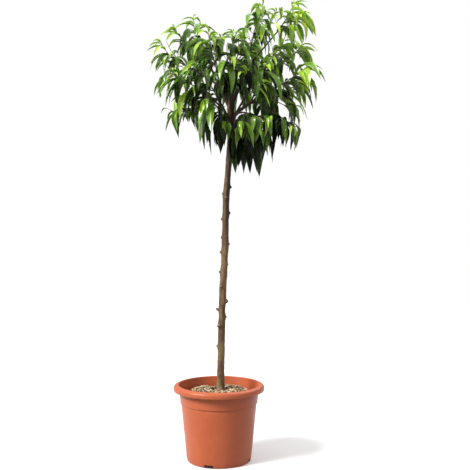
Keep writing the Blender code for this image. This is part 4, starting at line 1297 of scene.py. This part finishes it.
def pattern(tree, scale, stretch=(1.0, 1.0, 1.0), detail=3.0, roughness=0.55):
    """A noise over the object's own coordinates, scale features to the metre."""
    place = tree.nodes.new("ShaderNodeTexCoord")
    mapping = tree.nodes.new("ShaderNodeMapping")
    mapping.inputs["Scale"].default_value = stretch
    texture = tree.nodes.new("ShaderNodeTexNoise")
    texture.inputs["Scale"].default_value = scale
    texture.inputs["Detail"].default_value = detail
    texture.inputs["Roughness"].default_value = roughness
    tree.links.new(place.outputs["Object"], mapping.inputs["Vector"])
    tree.links.new(mapping.outputs["Vector"], texture.inputs["Vector"])
    return texture.outputs["Fac"]


def ramp(tree, value, *stops):
    """Colours between stops, each a place from 0 to 1 and a colour."""
    node = tree.nodes.new("ShaderNodeValToRGB")
    elements = node.color_ramp.elements
    while len(elements) < len(stops):
        elements.new(0.5)
    for element, (place, colour) in zip(elements, stops):
        element.position = place
        element.color = (*colour, 1.0)
    tree.links.new(value, node.inputs["Fac"])
    return node.outputs["Color"]


def levels(tree, value, low, high, from_low=0.3, from_high=0.7):
    """The value mapped from one range to another."""
    node = tree.nodes.new("ShaderNodeMapRange")
    node.inputs["From Min"].default_value = from_low
    node.inputs["From Max"].default_value = from_high
    node.inputs["To Min"].default_value = low
    node.inputs["To Max"].default_value = high
    tree.links.new(value, node.inputs["Value"])
    return node.outputs["Result"]


def mixed(tree, factor, first, second):
    """Two colours mixed by a factor: each may be a socket or a plain value."""
    node = tree.nodes.new("ShaderNodeMix")
    node.data_type = "RGBA"
    for socket, value in (("Factor", factor), ("A", first), ("B", second)):
        target = [s for s in node.inputs if s.name == socket and s.enabled][0]
        if isinstance(value, bpy.types.NodeSocket):
            tree.links.new(value, target)
        elif socket == "Factor":
            target.default_value = value
        else:
            target.default_value = (*value, 1.0)
    return [s for s in node.outputs if s.enabled][0]


def overlaid(tree, base, mask, strongest, low, high, colour):
    """The base with a colour over it, up to its strongest where the mask rises from low to high."""
    return mixed(tree, levels(tree, mask, 0.0, strongest, low, high), base, colour)


def bumped(tree, shader, height, strength, distance):
    """Raises the surface by a height."""
    node = tree.nodes.new("ShaderNodeBump")
    node.inputs["Strength"].default_value = strength
    node.inputs["Distance"].default_value = distance
    tree.links.new(height, node.inputs["Height"])
    tree.links.new(node.outputs["Normal"], shader.inputs["Normal"])


def shaded(colour, share):
    """The colour at a share of its brightness."""
    return tuple(min(channel * share, 1.0) for channel in colour)


def leaf_material(name, colour, roughness, gloss_level):
    """A waxy leaf: slight mottling of its own tint, uneven gloss and a fine grain."""
    material, tree, shader = shader_of(name)
    mottle = pattern(tree, 45.0, detail=4.0)
    light = (colour[0] * 1.35, colour[1] * 1.22, colour[2] * 1.1)
    tint = ramp(tree, mottle, (0.30, shaded(colour, 0.72)), (0.52, colour), (0.75, light))
    speckle = pattern(tree, 420.0, detail=2.0)
    tint = overlaid(tree, tint, speckle, 0.35, 0.45, 0.75, shaded(colour, 1.5))
    tree.links.new(tint, shader.inputs["Base Color"])
    gloss = levels(tree, pattern(tree, 90.0), roughness - 0.06, roughness + 0.10)
    tree.links.new(gloss, shader.inputs["Roughness"])
    shader.inputs["Specular IOR Level"].default_value = gloss_level
    shader.inputs["Subsurface Weight"].default_value = 0.45
    shader.inputs["Subsurface Radius"].default_value = (0.55, 1.0, 0.12)
    shader.inputs["Subsurface Scale"].default_value = 0.0016
    bumped(tree, shader, pattern(tree, 300.0, detail=4.0), 0.25, 0.0006)
    return material


def bark_material(name, shade):
    """Young peach bark: olive brown with lengthwise streaks, short bands across, painted shade below the
    fork, and redder wood up in the crown that is partly its own colour and partly painted light, under a
    painted shade of the crown from 0 to 1."""
    material, tree, shader = shader_of(name)
    place = tree.nodes.new("ShaderNodeTexCoord")
    parts = tree.nodes.new("ShaderNodeSeparateXYZ")
    tree.links.new(place.outputs["Object"], parts.inputs["Vector"])
    height = levels(tree, parts.outputs["Z"], 0.0, 1.0, 0.25, 1.25)
    # Colour by height: paler towards the foot, darker from about 0.87 m to 1.07 m as painted shade under
    # the crown, then redder and lighter just below the fork, partly the bark's own redder colour and
    # partly painted light
    base = ramp(
        tree, height,
        (0.00, (0.225, 0.150, 0.062)), (0.20, (0.190, 0.118, 0.044)), (0.48, (0.155, 0.090, 0.034)),
        (0.62, (0.140, 0.080, 0.028)), (0.72, (0.095, 0.052, 0.020)), (0.82, (0.045, 0.024, 0.010)),
        (0.87, (0.210, 0.078, 0.022)), (0.94, (0.200, 0.074, 0.022)),
    )
    streaks = pattern(tree, 160.0, (1.0, 1.0, 0.10), detail=5.0)
    base = overlaid(tree, base, streaks, 0.85, 0.44, 0.66, (0.034, 0.019, 0.009))
    pale = pattern(tree, 90.0, (1.0, 1.0, 0.35), detail=3.0)
    base = overlaid(tree, base, pale, 0.60, 0.54, 0.72, (0.250, 0.165, 0.080))
    patches = pattern(tree, 26.0, (1.0, 1.0, 0.45), detail=3.0)
    base = overlaid(tree, base, patches, 0.85, 0.50, 0.60, (0.085, 0.036, 0.016))
    bands = pattern(tree, 130.0, (0.45, 0.45, 3.2), detail=2.0)
    base = overlaid(tree, base, bands, 0.6, 0.62, 0.74, (0.210, 0.150, 0.090))
    # Painted shadow of the crown: the side facing +X, the right seen from the front, goes near black
    # from about 0.77 m up
    skin = tree.nodes.new("ShaderNodeNewGeometry")
    facing = tree.nodes.new("ShaderNodeSeparateXYZ")
    tree.links.new(skin.outputs["Normal"], facing.inputs["Vector"])
    crown_shadow_side = levels(tree, facing.outputs["X"], 0.0, 0.95, -0.25, 0.20)
    painted_crown_shadow = mixed(tree, crown_shadow_side, base, (0.012, 0.008, 0.005))
    base = mixed(tree, levels(tree, parts.outputs["Z"], 0.0, 1.0, 0.755, 0.785), base, painted_crown_shadow)
    crown_shade = levels(tree, parts.outputs["Z"], shade, 0.88, 1.175, 1.225)
    base = mixed(tree, crown_shade, base, (0.010, 0.006, 0.004))
    tree.links.new(base, shader.inputs["Base Color"])
    gloss = levels(tree, streaks, 0.62, 0.85)
    tree.links.new(gloss, shader.inputs["Roughness"])
    bumped(tree, shader, streaks, 0.8, 0.0016)
    return material


def cut_wood_material():
    """The pale, weathered face of a pruning cut."""
    material, tree, shader = shader_of("cut_wood")
    grain = pattern(tree, 700.0, detail=3.0)
    tint = ramp(tree, grain, (0.35, (0.16, 0.095, 0.05)), (0.65, (0.44, 0.31, 0.19)))
    tree.links.new(tint, shader.inputs["Base Color"])
    shader.inputs["Roughness"].default_value = 0.85
    bumped(tree, shader, grain, 0.4, 0.0005)
    return material


def shoot_material():
    """Green young wood, flushed brown here and there."""
    material, tree, shader = shader_of("young_shoot")
    flush = pattern(tree, 35.0, detail=3.0)
    stops = (0.35, (0.050, 0.030, 0.016)), (0.55, (0.085, 0.075, 0.022)), (0.75, (0.150, 0.200, 0.045))
    tree.links.new(ramp(tree, flush, *stops), shader.inputs["Base Color"])
    tree.links.new(levels(tree, flush, 0.40, 0.60), shader.inputs["Roughness"])
    bumped(tree, shader, pattern(tree, 600.0), 0.3, 0.0004)
    return material


def plastic_material():
    """Moulded terracotta-coloured plastic: even, slightly dusty, with soft gloss."""
    material, tree, shader = shader_of("terracotta_plastic")
    cloud = pattern(tree, 9.0, detail=4.0)
    tint = ramp(tree, cloud, (0.30, (0.43, 0.092, 0.032)), (0.70, (0.49, 0.110, 0.040)))
    dust = pattern(tree, 38.0, (1.0, 1.0, 0.5), detail=6.0, roughness=0.7)
    tint = overlaid(tree, tint, dust, 0.14, 0.50, 0.80, (0.56, 0.24, 0.14))
    specks = pattern(tree, 900.0, detail=1.0)
    tint = overlaid(tree, tint, specks, 0.25, 0.66, 0.78, (0.26, 0.060, 0.028))
    tree.links.new(tint, shader.inputs["Base Color"])
    tree.links.new(levels(tree, dust, 0.34, 0.48), shader.inputs["Roughness"])
    shader.inputs["Specular IOR Level"].default_value = 0.35
    bumped(tree, shader, pattern(tree, 520.0, detail=2.0), 0.06, 0.0004)
    return material


def soil_material():
    """Dark moist potting soil."""
    material, tree, shader = shader_of("soil_and_chips")
    crumbs = pattern(tree, 240.0, detail=6.0, roughness=0.7)
    tint = ramp(tree, crumbs, (0.30, (0.008, 0.003, 0.002)), (0.55, (0.030, 0.009, 0.004)),
                (0.80, (0.080, 0.027, 0.011)))
    tree.links.new(tint, shader.inputs["Base Color"])
    shader.inputs["Roughness"].default_value = 0.92
    bumped(tree, shader, crumbs, 1.0, 0.003)
    return material


def chip_material(name, colour):
    """Wood with lengthwise grain and darker flecks."""
    material, tree, shader = shader_of(name)
    grain = pattern(tree, 320.0, (1.0, 0.35, 1.0), detail=4.0)
    tint = ramp(tree, grain, (0.30, shaded(colour, 0.55)), (0.55, colour), (0.78, shaded(colour, 1.3)))
    tree.links.new(tint, shader.inputs["Base Color"])
    shader.inputs["Roughness"].default_value = 0.82
    bumped(tree, shader, grain, 0.5, 0.0006)
    return material


# Stage, light and camera

CAMERA_PLACE = (0.053, -2.370, 0.742)
FOCAL_PIXELS = 715
PHOTO_PIXELS = 470
SENSOR_WIDTH = 36.0
FLOOR_RADIUS = 6.0


def make_stage():
    """A pale floor under the pot."""
    bpy.ops.mesh.primitive_circle_add(vertices=96, radius=FLOOR_RADIUS, fill_type="NGON")
    floor = bpy.context.object
    floor.name = "studio_floor"
    material, tree, shader = shader_of("studio_floor")
    tint = ramp(tree, pattern(tree, 3.0), (0.3, (0.86, 0.86, 0.855)), (0.7, (0.90, 0.90, 0.90)))
    tree.links.new(tint, shader.inputs["Base Color"])
    shader.inputs["Roughness"].default_value = 0.7
    floor.data.materials.append(material)
    floor.visible_diffuse = False


FILL_GLOW = ((0.0, 0.22), (0.5, 0.48), (1.0, 0.95))


def make_world():
    """White surroundings that fill the shadows softly."""
    world = bpy.data.worlds.new("studio")
    world.use_nodes = True
    tree = world.node_tree
    background = tree.nodes["Background"]
    path = tree.nodes.new("ShaderNodeLightPath")
    place = tree.nodes.new("ShaderNodeTexCoord")
    parts = tree.nodes.new("ShaderNodeSeparateXYZ")
    tree.links.new(place.outputs["Generated"], parts.inputs["Vector"])
    height = levels(tree, parts.outputs["Z"], 0.0, 1.0, -1.0, 1.0)
    fill = ramp(tree, height, *((at, (glow, glow, glow)) for at, glow in FILL_GLOW))
    seen = mixed(tree, path.outputs["Is Camera Ray"], fill, (1.0, 1.0, 1.0))
    tree.links.new(seen, background.inputs["Color"])
    bpy.context.scene.world = world


KEY_LIGHT = (-60, 38, 20, 4.1)
BACK_LIGHT = (150, 50, 30, 0.8)


def make_light(name, bearing_deg, height_deg, spread_deg, strength):
    """A distant soft light, with its bearing to the right of the camera's side."""
    data = bpy.data.lights.new(name, "SUN")
    data.angle = math.radians(spread_deg)
    data.energy = strength
    lamp = bpy.data.objects.new(name, data)
    lamp.rotation_euler = (math.radians(90 - height_deg), 0.0, math.radians(bearing_deg))
    bpy.context.scene.collection.objects.link(lamp)


def make_camera():
    """The photograph's level view."""
    data = bpy.data.cameras.new("camera")
    data.sensor_width = SENSOR_WIDTH
    data.lens = SENSOR_WIDTH * FOCAL_PIXELS / PHOTO_PIXELS
    camera = bpy.data.objects.new("camera", data)
    camera.location = CAMERA_PLACE
    camera.rotation_euler = (math.radians(90), 0.0, 0.0)
    bpy.context.scene.collection.objects.link(camera)
    bpy.context.scene.camera = camera


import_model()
make_camera()
make_stage()
make_world()
make_light("key_light", *KEY_LIGHT)
make_light("back_light", *BACK_LIGHT)
bpy.context.scene.view_settings.view_transform = "Standard"

crown, leaves, fine_shoots = grow_all()
mass_nodes = ["leaves_" + mass.name for mass in MASSES]
bough_nodes = ["bough_" + mass.name for mass in MASSES]
bark = bark_material("bark", 0.0)
shaded_bark = bark_material("shaded_bark", 0.75)
dressed = [(piece, "leaf_green", mass_nodes) for piece in make_foliage(leaves)]
shoots = [shoot for grown in crown.shoots.values() for shoot in grown]
young_wood = shoot_material()
twigs = joined_skins("leafy_shoots", shoots, SHOOT_SKIN, shoot_relief, young_wood)
twiglets = joined_skins("fine_shoots", fine_shoots, FINE_SHOOT_SKIN, shoot_relief, young_wood)
dressed += [(twigs, "bark", mass_nodes), (twiglets, "bark", mass_nodes)]
boughs = joined_skins("bough_bark", crown.boughs.values(), BOUGH_SKIN, bark_relief, shaded_bark)
dressed.append((boughs, "bark", bough_nodes))
dressed.append((make_trunk(crown, bark, cut_wood_material()), "bark", ["trunk"]))
dressed.append((make_pot(plastic_material()), "terracotta_plastic", ["pot"]))
dressed.append((make_soil(soil_material()), "soil_and_chips", ["soil"]))
chip_tints = (
    chip_material("chip_pale", (0.62, 0.47, 0.30)),
    chip_material("chip_tan", (0.44, 0.30, 0.17)),
    chip_material("chip_brown", (0.20, 0.10, 0.05)),
)
dressed.append((make_chips(chip_tints), "soil_and_chips", ["soil"]))
for piece, slot, nodes in dressed:
    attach(piece, "root")
    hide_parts(*nodes)
